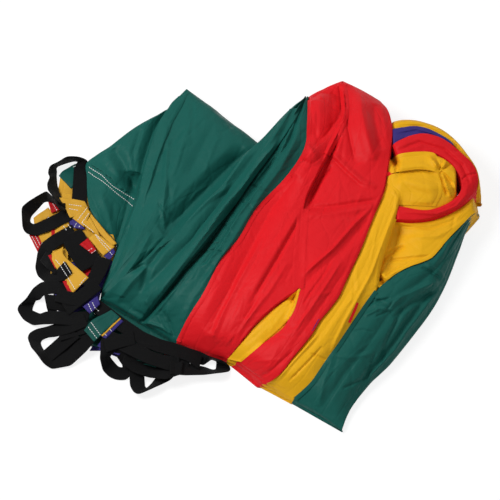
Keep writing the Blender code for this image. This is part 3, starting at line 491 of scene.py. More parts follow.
# The webbing of each handle as strips, each a run of rows: the pixels of its inner and its outer edge, the
# height of the lower edge in millimetres, and which edge stands up: 1 the outer, -1 the inner, 0 neither.
WEBBING_PX = {
    "handle_1": ((
        (72, 206, 87, 206, 23, 0), (71.5, 197, 86.5, 199, 23, 0), (72.4, 179, 87.7, 177, 15, 0),
        (73, 167, 88, 167, 5, 0), (77, 161.2, 86.9, 159.5, 1, 1), (75, 160.6, 79, 156.6, .4, 1),
        (71.5, 161, 71.6, 156.1, .4, 1), (63, 163.8, 65.5, 156.5, .4, 1), (56.3, 166.4, 57.5, 161.4, .4, 1),
        (55.2, 168.4, 48.9, 165.3, 1, 1), (55.8, 172, 47.1, 172.5, 3, 1), (55.6, 176.6, 49.4, 176.8, 7, 1),
        (56.7, 184.8, 46.8, 183.3, 12, 1), (59, 192.4, 47.5, 189.6, 16, 1), (61.5, 199.5, 53, 196.5, 20, 1),
        (64.5, 206, 57, 203, 22, 1), (68, 212, 60, 210, 22, 1)),),
    "handle_2": ((
        (66, 217, 66, 203, 24, 0), (59.4, 209.3, 58, 202, 23, 1), (53.3, 202.4, 50, 194.5, 20, 1),
        (47.9, 201.4, 46, 190.6, 15, 1), (43.7, 201.8, 37, 195.8, 8, 1), (36.8, 210, 28, 201.4, 3, 1),
        (31.1, 216.2, 21.4, 207, 1, 1), (29.5, 220.8, 21.9, 218.4, .4, 1), (30.5, 223, 22.3, 228, .4, 1),
        (33.7, 224.2, 26, 233.8, .5, 1), (38, 222, 37, 236, 7, 0), (45.6, 217.7, 47, 233.5, 18, 0),
        (52, 214, 56, 230, 23.6, 0), (60.9, 209.3, 65.5, 225, 24, 0), (68, 205.6, 73, 220, 24, 0)),),
    "handle_3": ((
        (76, 238, 72, 224, 23.6, 0), (66, 243, 61.5, 229, 24, 0), (57, 248.6, 50.5, 236, 23.6, 0),
        (51, 253.6, 42, 242.2, 16, 0), (50.5, 258, 38, 252, 7, 0), (50.5, 263, 37.2, 259.5, 2, 0),
        (50, 267, 35.7, 267.6, 1, 0), (51, 269.6, 38, 275.4, 4, 0), (53, 270.2, 46, 283.4, 14, 0),
        (56.8, 267.8, 65, 282.6, 27, 0), (60.5, 263.9, 70, 277.8, 30.5, 0),
        (64.6, 259.4, 74.2, 274.2, 31, 0)),
        ((48, 249, 40.5, 261, 12, 0), (54, 256, 47, 268, 22, 0), (62, 262, 56, 275, 25, 0))),
    "handle_4": ((
        (74, 300, 70, 284, 24, 0), (62, 295, 58, 279, 24, 0), (52, 295, 47.5, 279.6, 19, 0),
        (44.8, 296.3, 40.8, 281.4, 12, 0), (40.5, 298.5, 34, 289.4, 6, 0), (36.6, 300.5, 27, 298.8, 2, 1),
        (34.6, 305, 19.6, 304.9, .5, 0), (33.2, 310.2, 17.8, 309.8, .5, 0), (36, 311.2, 24.2, 319.2, .5, 0),
        (42.5, 311.9, 33, 326.6, 4, 0), (48, 309, 44, 326, 11, 0), (58, 309, 56, 325, 20, 0),
        (74, 311, 72, 326, 24, 0), (92, 310, 88, 324, 24, 0)),
        ((45, 294, 48, 308.6, 15, 1), (58, 295, 58, 310, 16, 1), (72, 297, 71, 312, 16, 1)),
        ((46.4, 301, 49.8, 315.6, 8, 1), (58, 302, 58, 317, 9, 1))),
    "handle_5": ((
        (90, 326, 84, 312, 26, 0), (76, 332, 70, 318, 24, 0), (66, 335.5, 58, 321.5, 16, 0),
        (57.8, 337.4, 46, 325.4, 9, 0), (51, 338.6, 36, 326.8, 4, 0), (44.5, 340.8, 29.4, 331, 1, 0),
        (42.6, 343, 28.2, 336.6, .4, 0), (43.5, 346.5, 32.6, 346.4, .4, 1), (45.6, 350, 38.6, 352.6, .4, 1),
        (51, 353, 45.6, 363, .4, 1), (56.5, 353.5, 53, 370.4, .6, 0), (66, 350.5, 73, 367, 4, 0),
        (76, 340.5, 89, 351, 14, 0), (86, 328, 99, 340, 24, 0)),
        ((43.2, 349, 52, 363.6, 1, 0), (56.6, 337, 69, 349.6, 8, 0), (69, 325, 83, 338.6, 22, 0)),
        ((52, 355, 59, 368, 0.5, 0), (64, 345.6, 75, 358.4, 4, 0), (77, 333, 88.6, 346, 14, 0)),
        ((58, 326, 62, 342, 12, 0), (72, 322, 76, 338, 20, 0), (86, 318, 90, 333, 25, 0))),
    "handle_6": ((
        (121, 334, 107, 329, 25, 0), (116.5, 344, 101.2, 340, 23, 0), (116.6, 350, 102, 349.6, 23, 0),
        (111, 355.6, 101.2, 357, 14, 1), (114.5, 359, 103.4, 370, 4, 0), (119.5, 363.6, 109.6, 377.4, .5, 0),
        (121.8, 364.4, 117.2, 381, .5, 0), (123.4, 365, 128, 380.6, .5, 0), (121.5, 362, 135, 372.6, 3, 0),
        (117.6, 355, 131.6, 358.6, 16, 0), (116, 348, 130, 349, 23, 0), (117, 338, 132, 339, 26, 0)),),
    "handle_7": ((
        (153, 344, 139, 340, 27, 0), (147, 356, 132, 354, 23, 0), (146, 366, 130.6, 364, 12, 0),
        (145.9, 376, 130, 375, 5, 0), (145.9, 382.4, 131, 384.6, 1, 0), (146, 385, 134.8, 390.8, .4, 1),
        (147.7, 387.1, 139.4, 392.6, .4, 1), (152.8, 382, 151, 387.9, .4, 1), (158, 375, 162, 383.2, 2, 1),
        (163, 367, 172, 379.4, 8, 0), (166, 362, 181, 369, 18, 0), (165, 354, 180, 356, 25, 0)),),
    "handle_8": ((
        (170, 359, 171, 374, 25, 0), (185, 360.5, 186, 374.6, 18, 0), (196, 364, 198, 373.8, 8, 1),
        (204.2, 365.8, 205, 373.4, 3, 1), (212.9, 369, 214, 372.2, .4, 1), (216, 368.5, 222, 371.4, .4, 1),
        (217, 366, 229.5, 370, .4, 0), (217.3, 362, 230.4, 366, .5, 0), (216, 360, 223.6, 359.8, .5, 1),
        (211.8, 358.2, 215.3, 357.2, 1, 1), (208.5, 361, 208.3, 354.6, 2, 1),
        (204.2, 365.5, 202.3, 350.4, 8, 0),
        (192, 361, 191, 347, 16, 0), (176, 358, 176, 343, 25, 0)),),
    "handle_9": (
        ((83, 229, 66, 234, 24, 0), (92, 243, 79, 252, 25.5, 0), (103, 258, 90, 267, 25, 0),
         (108, 266, 96, 274, 23.6, 0)),
        ((77, 234, 61, 241, 23.6, 0), (83, 247, 68, 256, 26, 0), (95, 265, 81, 273, 25, 0)),
        ((112, 260, 98, 256, 26, 0), (106, 276, 91, 270, 28, 0), (97, 291, 82, 284, 28, 0))),
    "handle_10": (
        ((62, 302, 71, 316, 25, 0), (74, 293, 83, 306, 28, 0), (87, 283, 96, 296, 29, 0),
         (94, 277, 103, 290, 28, 0)),
        ((60, 287, 55, 302, 25, 0), (74, 291, 70, 306, 27.4, 0), (86, 293, 82, 307, 27.4, 0))),
    "handle_11": (
        ((100, 298, 93, 312, 22.6, 0), (113, 308, 106, 321, 23.5, 0), (127, 318, 120, 332, 24.5, 0),
         (140, 326, 134, 341, 25, 0)),
        ((134, 329, 137, 345, 27, 0), (120, 332, 123, 348.5, 27, 0), (104, 337, 108, 353, 25, 0))),
    "handle_12": (
        ((128, 318, 122, 333, 25.4, 0), (146, 330.5, 140, 345, 26, 0), (162, 337.5, 157, 352, 26.5, 0),
         (178, 342, 175, 357, 25, 0), (192, 347, 189, 361.5, 20, 0), (203, 355, 199, 369, 13, 0)),
        ((192, 357, 187, 372.4, 16, 0), (172, 354.4, 168, 371, 24.6, 0), (154, 348.6, 148, 364.6, 27.5, 0),
         (138, 341, 130, 356, 26.5, 0), (126, 335, 118, 350, 24, 0)),
        ((128, 348.6, 122, 362.6, 19, 0), (141, 357.6, 134, 372.6, 14, 0), (154, 362.6, 149, 377.6, 12, 0),
         (168, 364, 166, 379, 22, 0), (184, 359, 182, 374, 23, 0))),
}
HANDLE_HEMS = {
    "handle_1": "yellow_hem_1", "handle_2": "red_hem_1", "handle_3": "yellow_hem_2", "handle_4": "blue_hem_1",
    "handle_5": "green_hem_1", "handle_6": "blue_hem_2", "handle_7": "green_hem_2", "handle_8": "red_hem_2",
}


def unit(vector):
    return vector / np.linalg.norm(vector)


def seen(points):
    """Where points show in the picture, in pixels across and down."""
    across = MIDDLE_ACROSS_PX + points[:, 0] / PIXEL
    up = points[:, 1] * math.sin(VIEW_ELEVATION) + points[:, 2] * math.cos(VIEW_ELEVATION)
    return np.stack([across, MIDDLE_DOWN_PX - up / PIXEL], axis=1)


def spot(across, down, height):
    """The point that shows at a pixel, at a height above the floor in metres."""
    up = (MIDDLE_DOWN_PX - down) * PIXEL - height * math.cos(VIEW_ELEVATION)
    return np.array([(across - MIDDLE_ACROSS_PX) * PIXEL, up / math.sin(VIEW_ELEVATION), height])


def step_up(values, low, high):
    """0 below low, 1 above high, and a smooth run between."""
    t = np.clip((values - low) / (high - low), 0, 1)
    return t * t * (3 - 2 * t)


def coordinates(mesh, what="co"):
    co = np.zeros(len(mesh.vertices) * 3)
    mesh.vertices.foreach_get(what, co)
    return co.reshape(-1, 3)


def normals(mesh):
    return coordinates(mesh, "normal")


def set_coordinates(mesh, co):
    mesh.vertices.foreach_set("co", np.ascontiguousarray(co, dtype=np.float32).ravel())
    mesh.update()


def crease_lift(at, crease):
    """How far one crease lifts each point of the picture plane, and how far it leans over, in metres."""
    rise, half, lap, *run = crease
    rise, half = rise / 1000, half / 1000 / PIXEL
    run = np.array(run, float)
    lengths = np.linalg.norm(np.diff(run, axis=0), axis=1)
    before = np.concatenate([[0], np.cumsum(lengths)])
    nearest = np.full(len(at), 1e9)
    over = np.zeros((len(at), 2))
    side = np.zeros(len(at))
    along = np.zeros(len(at))
    for start, end, length, done in zip(run, run[1:], lengths, before):
        way = (end - start) / length
        off = at - start
        t = np.clip(off @ way, 0, length)
        away = np.linalg.norm(off - t[:, None] * way, axis=1)
        closer = away < nearest
        nearest = np.where(closer, away, nearest)
        side = np.where(closer, np.sign(way[0] * off[:, 1] - way[1] * off[:, 0]), side)
        along = np.where(closer, (done + t) / before[-1], along)
        over = np.where(closer[:, None], np.array([-way[1], -way[0]]), over)
    fade = np.sqrt(np.clip(np.minimum(along, 1 - along) * CREASE_FADE, 0, 1))
    shape = np.clip(1 - nearest / half, 0, 1) ** CREASE_POWER
    if not lap:
        return rise * shape * fade, np.zeros((len(at), 2))
    stands = side == -lap
    shape = np.where(stands, shape, -LAP_HOLLOW * np.clip(1 - nearest / (LAP_HOLLOW * half), 0, 1))
    # The edge of a fold that lies over leans out, and the cloth under it is drawn back.
    near = np.clip(1 - nearest * PIXEL * 1000 / LAP_REACH_MM, 0, 1)
    most = LAP_LEAN_MM if half * PIXEL * 1000 < LAP_WIDEST_MM else 0
    lean = np.where(stands, most, -LAP_DRAWN_BACK * most) / 1000 * near * fade
    return rise * shape * fade, over * lap * lean[:, None]


def scattered(left, right, seed):
    """The small straight creases that a lobe of light cloth has all over, most of them along it."""
    dice = np.random.default_rng(int(seed))
    shown_left, shown_right = seen(even(left, SCATTER_ROWS)), seen(even(right, SCATTER_ROWS))
    area = np.linalg.norm(shown_right - shown_left, axis=1).mean() * run_of(shown_left)[-1]
    creases = []
    for _ in range(int(area * SCATTER_DENSITY)):
        row, u = dice.integers(2, SCATTER_ROWS - 3), dice.uniform(*SCATTER_ACROSS)
        start = shown_left[row] * (1 - u) + shown_right[row] * u
        way_left, way_right = (unit(run[row + 1] - run[row]) for run in (shown_left, shown_right))
        way = way_left * (1 - u) + way_right * u
        turn = dice.normal(0, SCATTER_TURN)
        way = np.array([way[0] * math.cos(turn) - way[1] * math.sin(turn),
                        way[0] * math.sin(turn) + way[1] * math.cos(turn)])
        half = dice.uniform(*SCATTER_HALF_MM)
        rise = dice.choice((-1, 1)) * half * dice.uniform(*SCATTER_SLOPES)
        end = start + way * dice.uniform(*SCATTER_LENGTH_PX)
        bend = (start + end) / 2 + np.array([-way[1], way[0]]) * dice.normal(0, SCATTER_BEND_PX)
        creases.append((rise, half, 0, tuple(start), tuple(bend), tuple(end)))
    return creases


def creased(mesh, creases, narrowest, widest):
    """Presses into a mesh those creases whose half width lies in a range, in millimetres."""
    co = coordinates(mesh)
    facing = normals(mesh)
    at = seen(co)
    move = np.zeros((len(co), 3))
    for crease in creases:
        if narrowest <= crease[1] < widest:
            lift, lean = crease_lift(at, crease)
            move += VIEW * lift[:, None] * CREASE_GAIN
            move[:, :2] += lean
    move *= (step_up(facing[:, 2], 0.05, 0.4) * np.sqrt(point_values(mesh, "free")))[:, None]
    set_coordinates(mesh, co + move)


def choose(pieces):
    """Selects some objects alone, the first of them active."""
    bpy.ops.object.select_all(action="DESELECT")
    for piece in pieces:
        piece.select_set(True)
    bpy.context.view_layer.objects.active = pieces[0]


def apply_modifiers(obj):
    choose([obj])
    for modifier in list(obj.modifiers):
        bpy.ops.object.modifier_apply(modifier=modifier.name)
    obj.select_set(False)


def curve_through(points, at):
    """Points of the Catmull-Rom curve through rows, at fractional row numbers."""
    points = np.asarray(points, float)
    ends = np.vstack([2 * points[0] - points[1], points, 2 * points[-1] - points[-2]])
    at = np.clip(at, 0, len(points) - 1)
    k = np.minimum(at.astype(int), len(points) - 2)
    t = (at - k)[:, None]
    a, b, c, d = (ends[k + n] for n in range(4))
    return 0.5 * (2 * b + (c - a) * t + (2 * a - 5 * b + 4 * c - d) * t ** 2
                  + (3 * b - a - 3 * c + d) * t ** 3)


def run_of(points):
    return np.concatenate([[0], np.cumsum(np.linalg.norm(np.diff(points[:, :3], axis=0), axis=1))])


def even(points, count):
    """count rows evenly spaced along the curve through the given rows."""
    fine = curve_through(points, np.linspace(0, len(points) - 1, (len(points) - 1) * CURVE_STEPS + 1))
    run = run_of(fine)
    at = np.linspace(0, run[-1], count)
    return np.stack([np.interp(at, run, fine[:, k]) for k in range(fine.shape[1])], axis=1)


def rail(table, count):
    return even([spot(across, down, share * LOFT) for across, down, share in table], count)


def join(*runs):
    return np.vstack([runs[0], *(run[1:] for run in runs[1:])])


def pulled_in(run):
    run = np.array(run, float)
    for end, beside in ((0, 1), (-1, -2)):
        run[end] += unit(run[beside] - run[end]) * SEAM_GAP / 2
    return run


def object_of(bm, name):
    """The object that a bmesh becomes."""
    mesh = bpy.data.meshes.new(name)
    bm.to_mesh(mesh)
    bm.free()
    obj = bpy.data.objects.new(name, mesh)
    bpy.context.scene.collection.objects.link(obj)
    return obj


def closed(bm, name):
    """The object that a closed bmesh becomes, its faces turned outwards."""
    if bm.calc_volume(signed=True) < 0:
        bmesh.ops.reverse_faces(bm, faces=bm.faces)
    return object_of(bm, name)


def end_height(t, round_off_shares, end_shares):
    """The share of its height that a lobe keeps at a share t of its length, rounding down at both ends."""
    kept = 1.0
    for reach, share, away in zip(round_off_shares, end_shares, (t, 1 - t)):
        if away < reach:
            kept *= share + (1 - share) * math.sqrt(1 - (1 - away / reach) ** 2)
    return kept


def turned_under(outward, height):
    """How far the foot of an edge of a given height lies in from the edge, if the edge faces the front."""
    return min(height / math.tan(VIEW_ELEVATION) * max(-outward[1], 0), MOST_TURNED_UNDER)


def lofted(name, left, right, crown_share=0.0, fold_shares=(), rail_shares=(1.0, 1.0),
           round_off_shares=(0.01, 0.08), soft_sides=(0.8, 0.8), end_shares=(END_SHARE, END_SHARE),
           open_sides=(False, False)):
    """The closed skin of a gore flaked into a long lobe between two rails, as an even net of small faces.

    soft_sides holds how sharp its left and right upper edges are, from 0 to 1.
    """
    left, right = pulled_in(left), pulled_in(right)
    length = max(run_of(left)[-1], run_of(right)[-1])
    stations = max(int(length / ALONG_STEP), 6)
    at = np.linspace(0, len(left) - 1, stations + 1)
    left, right = curve_through(left, at), curve_through(right, at)
    width = np.linalg.norm(right[:, :2] - left[:, :2], axis=1).max()
    columns = max(int(width / ACROSS_STEP), 4)
    tallest = max(left[:, 2].max() * rail_shares[0], right[:, 2].max() * rail_shares[1])
    walls = max(int(tallest / WALL_STEP), 2)
    us = np.linspace(0, 1, columns + 1)
    rings = []
    for i, t in enumerate(np.linspace(0, 1, stations + 1)):
        inset = unit(right[i, :2] - left[i, :2]) * SEAM_GAP / 2
        a, b = left[i, :2] + inset, right[i, :2] - inset
        za, zb = left[i, 2] * rail_shares[0], right[i, 2] * rail_shares[1]
        low, high = min(za, zb), max(za, zb)
        full = min(1.0, high / (FULL_SHARE * LOFT))
        from_high = us if za >= zb else 1 - us
        bulge = np.sin(np.pi * np.minimum(us, 1 - us))
        z = low + (high - low) * (1 - from_high ** SHOULDER_POWER)
        z = z + crown_share * LOFT * full * bulge ** CROWN_POWER
        for at_start, at_end, height, half in fold_shares:
            off = np.abs(us - at_start - (at_end - at_start) * t) / half
            height = FOLD_KEPT * height * LOFT * full
            z = z + height * np.clip(1 - off, 0, 1) ** FOLD_POWER * bulge ** FOLD_EDGE_POWER
        kept = end_height(t, round_off_shares, end_shares)
        z = np.maximum(z * kept, LOWEST_SHARE * LOFT)
        top = np.column_stack([a + (b - a) * us[:, None], z])
        if t > 0.5 and end_shares[1] == BACK_END_SHARE:
            # What rounds down at the back still shows where it was.
            back = (left[i, 2] * (1 - us) + right[i, 2] * us) * (1 - kept) / math.tan(VIEW_ELEVATION)
            top[:, 1] += back
            a, b = a + (0, back[0]), b + (0, back[-1])
        # A side that faces the front is turned under, so that no more of it shows than its upper edge.
        steps = np.linspace(0, 1, walls + 1)[:-1, None]
        sides = []
        for run, foot, sign, edge, is_open in ((left, a, -1, top[0], open_sides[0]),
                                               (right, b, 1, top[-1], open_sides[1])):
            ahead = run[min(i + 1, stations)] - run[max(i - 1, 0)]
            outward = unit(sign * np.array([ahead[1], -ahead[0]]))
            foot = foot - outward * (turned_under(outward, edge[2]) if is_open else -FLARE)
            head = np.array([*(edge[:2] if is_open else foot), edge[2]])
            sides.append(steps * head + (1 - steps) * (*foot, 0.0))
        rings.append(np.vstack([sides[0], top, sides[1][::-1]]))
    for end, beside in ((0, 1), (-1, -2)):
        way = unit(rings[end][:, :2].mean(0) - rings[beside][:, :2].mean(0))
        reach = NOSE, FRONT_NOSE_SHARE if way[1] < 0 else 1
        noses = []
        for angle in map(math.radians, NOSE_ANGLES):
            ring = rings[end].copy()
            under = turned_under(way, ring[:, 2].max()) * (1 - math.cos(angle))
            ring[:, :2] += way * (reach[0] * math.sin(angle) * reach[1] - under)
            ring[:, 2] *= math.cos(angle)
            noses.append(ring)
        rings = [*reversed(noses), *rings] if end == 0 else [*rings, *noses]
    rings = np.array(rings)
    across = step_up(np.minimum(us, 1 - us), 0.0, FREE_BORDER)
    free = np.concatenate([np.zeros(walls), across, np.zeros(walls)])

    bm = bmesh.new()
    crease = bm.edges.layers.float.new("crease_edge")
    slack = bm.verts.layers.float.new("free")
    map_layer = bm.loops.layers.uv.new("weave")
    net = [[bm.verts.new(Vector(point)) for point in ring] for ring in rings]
    down = run_of(rings[len(rings) // 2])
    along = run_of(rings.mean(1))
    count = len(net[0])
    for i, (one, two) in enumerate(zip(net, net[1:])):
        for j in range(count):
            k = (j + 1) % count
            face = bm.faces.new((one[j], two[j], two[k], one[k]))
            far = down[j] + 0.05 if k == 0 else down[k]
            for loop, place in zip(face.loops, ((down[j], along[i]), (down[j], along[i + 1]),
                                                (far, along[i + 1]), (far, along[i]))):
                loop[map_layer].uv = place
    for row in net:
        for vert, value in zip(row, free):
            vert[slack] = value
    bm.faces.new(net[0])
    bm.faces.new(list(reversed(net[-1])))
    sharp_edges = ((0, 1.0), (walls, soft_sides[0]), (walls + columns, soft_sides[1]), (count - 1, 1.0))
    for place, sharp in sharp_edges:
        for one, two in zip(net, net[1:]):
            bm.edges.get((one[place], two[place]))[crease] = sharp
    return closed(bm, name)


def point_values(mesh, name):
    values = np.zeros(len(mesh.vertices))
    mesh.attributes[name].data.foreach_get("value", values)
    return values


def slackened(obj, slack_across, slack_along, cap):
    """Lets the cloth buckle under its own slack, by simulation, each point within cap of its place."""
    start = coordinates(obj.data)
    flat = start[:, :2] - start[:, :2].mean(0)
    _, _, ways = np.linalg.svd(flat, full_matrices=False)
    stretched = flat @ ways.T * np.array([1 + slack_along, 1 + slack_across]) @ ways
    obj.shape_key_add(name="Basis")
    cut = obj.shape_key_add(name="cut")
    target = start.copy()
    target[:, :2] = start[:, :2].mean(0) + stretched
    target[:, 2] *= 1 + slack_across
    cut.data.foreach_set("co", target.ravel())
    hold = 1 - 0.95 * point_values(obj.data, "free")
    group = obj.vertex_groups.new(name="held")
    for level in np.unique(np.round(hold, 2)):
        chosen = np.nonzero(np.round(hold, 2) == level)[0].tolist()
        group.add(chosen, float(level), "REPLACE")
    cloth = obj.modifiers.new("slack", "CLOTH")
    settings = cloth.settings
    settings.quality = 5
    settings.mass = 0.15
    settings.tension_stiffness = 20
    settings.compression_stiffness = 20
    settings.shear_stiffness = 8
    settings.bending_stiffness = 0.6
    settings.air_damping = 2
    settings.vertex_group_mass = "held"
    settings.pin_stiffness = 0.6
    settings.rest_shape_key = cut
    settings.effector_weights.gravity = 0
    cloth.collision_settings.use_collision = False
    scene = bpy.context.scene
    cloth.point_cache.frame_start = 1
    cloth.point_cache.frame_end = SLACK_FRAMES
    for number in range(1, SLACK_FRAMES + 1):
        scene.frame_set(number)
    graph = bpy.context.evaluated_depsgraph_get()
    done = obj.evaluated_get(graph).to_mesh()
    end = coordinates(done)
    obj.evaluated_get(graph).to_mesh_clear()
    obj.modifiers.remove(cloth)
    obj.shape_key_clear()
    scene.frame_set(1)
    move = end - start
    far = np.linalg.norm(move, axis=1)
    moved = start + move * (np.minimum(far, cap) / np.maximum(far, 1e-9))[:, None]
    moved[:, 2] = np.maximum(moved[:, 2], start[:, 2].min())
    set_coordinates(obj.data, moved)


def plied(mesh, seed):
    """Presses the folded edges of the plies into the sides of a lobe."""
    co = coordinates(mesh)
    facing = normals(mesh)
    level = co[:, 2] / PLY_PITCH
    for fine, shift, far in PLY_WANDER:
        level = level + far * np.array([noise.noise(Vector((x * fine, y * fine, seed + shift)))
                                        for x, y, _ in co])
    part = np.abs(2 * (level - np.floor(level)) - 1)
    side = 1 - step_up(np.abs(facing[:, 2]), 0.2, 0.5)
    set_coordinates(mesh, co - facing * (PLY_DEPTH * part ** 3 * side)[:, None])


def rippled(mesh, seed):
    """Adds the faint unevenness of light cloth."""
    co = coordinates(mesh)
    facing = normals(mesh)
    broad, fine = RIPPLE_FINENESS
    lift = np.array([noise.noise(p * broad + Vector((seed, 0, 0))) + 0.5 * noise.noise(p * fine)
                     for p in map(Vector, co)])
    top = step_up(facing[:, 2], 0.0, 0.5)
    set_coordinates(mesh, co + facing * (lift * RIPPLE_DEPTH * top)[:, None])


def finished(obj, finish, slot, body="bundle"):
    obj.data.materials.clear()
    obj.data.materials.append(finish)
    obj.data.shade_smooth()
    if body:
        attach(obj, body)
    return obj


class Number:
    """A number that a material works out over the surface: operators on it add the Math nodes."""

    def __init__(self, surface, socket):
        self.surface = surface
        self.socket = socket

    def math(self, operation, other=None):
        made = self.surface.node("ShaderNodeMath", {"operation": operation}, {0: self, 1: other})
        return Number(self.surface, made.outputs[0])

    def __add__(self, other):
        return self.math("ADD", other)

    def __radd__(self, other):
        return self.math("ADD", other)

    def __mul__(self, other):
        return self.math("MULTIPLY", other)

    def __rmul__(self, other):
        return self.math("MULTIPLY", other)

    def sine(self):
        return self.math("SINE")


class Surface:
    """A material being made: a Principled shader and the nodes that feed it."""

    def __init__(self, name, colour, constants):
        self.material = bpy.data.materials.new(name)
        self.material.use_nodes = True
        self.material.diffuse_color = (*colour, 1)
        self.tree = self.material.node_tree
        self.shader = self.tree.nodes["Principled BSDF"]
        self.shader.inputs["Base Color"].default_value = (*colour, 1)
        for key, value in constants.items():
            self.shader.inputs[key].default_value = value

    def feed(self, socket, value):
        if value is None:
            return
        if isinstance(value, Number):
            value = value.socket
        if isinstance(value, bpy.types.NodeSocket):
            self.tree.links.new(value, socket)
        elif isinstance(value, tuple) and len(value) == 3 and socket.type == "RGBA":
            socket.default_value = (*value, 1)
        else:
            socket.default_value = value

    def node(self, kind, settings=None, inputs=None):
        made = self.tree.nodes.new(kind)
        for key, value in (settings or {}).items():
            setattr(made, key, value)
        for key, value in (inputs or {}).items():
            self.feed(made.inputs[key], value)
        return made

    def mottle(self, place, scale, detail, roughness, distortion=0):
        """Cloudy patches over the surface."""
        made = self.node("ShaderNodeTexNoise", None, {
            "Vector": place.outputs["Object"], "Scale": scale, "Detail": detail, "Roughness": roughness,
            "Distortion": distortion})
        return Number(self, made.outputs["Fac"])

    def weave(self, place):
        """How far across and along its cloth a point lies."""
        made = self.node("ShaderNodeSeparateXYZ", inputs={0: place.outputs["UV"]})
        return Number(self, made.outputs["X"]), Number(self, made.outputs["Y"])

    def dyed(self, factor, dark, light):
        mixed = self.node("ShaderNodeMix", {"data_type": "RGBA"}, {"Factor": factor, 6: dark, 7: light})
        return mixed.outputs[2]

    def raised(self, height, strength, depth, under=None):
        """Relief of the surface, on top of the relief that is given."""
        return self.node("ShaderNodeBump", None, {
            "Strength": strength, "Distance": depth, "Height": height, "Normal": under}).outputs[0]

    def give(self, **links):
        for key, value in links.items():
            self.feed(self.shader.inputs[key.replace("_", " ")], value)
        return self.material


TURN = 2 * math.pi
WEAVE_PITCH = 0.0011      # of the taffeta's threads
RIB_PITCH = 0.0013
YARN_PITCH = 0.0018
CRUMPLE_STRETCH = (1, 0.42, 1)
PINCH_WIDTH = 0.07        # of the small sharp creases, as a share of the cells between them


def cloth_finish(name, colour, light_colour, dark_colour):
    """Thin taffeta: a fine plain weave with a soft sheen, faint creases and uneven dye."""
    made = Surface(name, colour, {"Roughness": 0.5, "Sheen Weight": 0.03, "Sheen Roughness": 0.4,
                                  "Specular IOR Level": 0.12})
    place = made.node("ShaderNodeTexCoord")
    warp, weft = made.weave(place)
    threads = (warp * (TURN / WEAVE_PITCH)).sine() * 0.5 + (weft * (TURN / WEAVE_PITCH)).sine() * 0.5
    crumple = made.mottle(place, 38, 4, 0.55, 0.8)
    drawn = made.node("ShaderNodeVectorMath", {"operation": "MULTIPLY"}, {
        0: place.outputs["UV"], 1: CRUMPLE_STRETCH})
    pinch = Number(made, made.node("ShaderNodeTexVoronoi", {"feature": "DISTANCE_TO_EDGE"}, {
        "Vector": drawn.outputs[0], "Scale": 30, "Randomness": 1}).outputs["Distance"])
    dye = made.mottle(place, 9, 3, 0.6)
    folds = crumple * 0.7 + pinch.math("MINIMUM", PINCH_WIDTH) * 2.4
    return made.give(Base_Color=made.dyed(dye * 0.8 + crumple * 0.2, dark_colour, light_colour),
                     Roughness=0.44 + crumple * 0.14,
                     Normal=made.raised(folds, 0.5, 0.004, made.raised(threads, 0.12, 0.0003)))


def webbing_finish():
    """Black woven webbing: ribs across it, finer yarn along it, and a dull lint on its face."""
    made = Surface("black_webbing", BLACK, {"Roughness": 0.75, "Sheen Weight": 0.03, "Sheen Roughness": 0.5,
                                            "Specular IOR Level": 0.10})
    place = made.node("ShaderNodeTexCoord")
    across, along = made.weave(place)
    ribs = (along * (TURN / RIB_PITCH)).sine() * (across * (TURN / YARN_PITCH)).sine()
    lint = made.mottle(place, 60, 5, 0.7)
    return made.give(Base_Color=made.dyed(lint * 0.7 + ribs * 0.15, shaded(BLACK, 0.7), shaded(BLACK, 1.8)),
                     Roughness=0.6 + lint * 0.3, Normal=made.raised(ribs + lint * 0.5, 0.5, 0.0003))


def thread_finish():
    """White sewing thread, twisted from two plies."""
    made = Surface("white_thread", THREAD, {"Roughness": 0.55, "Specular IOR Level": 0.3})
    fuzz = made.mottle(made.node("ShaderNodeTexCoord"), 900, 2, 0.6)
    return made.give(Base_Color=made.dyed(fuzz, shaded(THREAD, 0.86), shaded(THREAD, 1.05)),
                     Roughness=0.5 + fuzz * 0.2, Normal=made.raised(fuzz, 0.4, 0.0002))


def shaded(colour, amount):
    return tuple(min(1.0, c * amount) for c in colour)


# Each cloth: its colour, and its lighter and darker dye as shares of that colour.
CLOTHS = {
    "green": (GREEN, 1.10, 0.88), "red": (RED, 1.06, 0.90), "yellow": (YELLOW, 1.06, 0.90),
    "blue": (BLUE, 1.12, 0.86),
}
# Each turned hem, painted darker than its gore, partly for its two plies and partly as painted shade where it
# lies in the heap: the colour that its dyes are shares of, its plain share of it, and the two dyes.
SHADED_TURNED_HEMS = {
    "green_hem": (GREEN, HEM_TWO_PLY_AND_PAINTED_SHADE, 0.9, 0.6), "red_hem": (RED, HEM_TWO_PLY_AND_PAINTED_SHADE, 0.72, 0.45),
    "yellow_hem": (TWO_PLY_SHADED_HEM_YELLOW, 1, 1.15, 0.8), "blue_hem": (BLUE, HEM_TWO_PLY_AND_PAINTED_SHADE, 1.1, 0.7),
}
FINISHES = {
    **{name: cloth_finish(name + "_taffeta", colour, shaded(colour, light), shaded(colour, dark))
       for name, (colour, light, dark) in CLOTHS.items()},
    **{name: cloth_finish(name.replace("_hem", "_turned_hem"), shaded(colour, plain), shaded(colour, light),
                          shaded(colour, dark))
       for name, (colour, plain, light, dark) in SHADED_TURNED_HEMS.items()},
    "webbing": webbing_finish(),
    "thread": thread_finish(),
}

# How slack a folded gore lies: across its length, along it, and the most a point may move, in metres.
SLACK_ACROSS = 0.07
SLACK_ALONG = 0.02
SLACK_CAP = 0.006
SLACK_FRAMES = 24


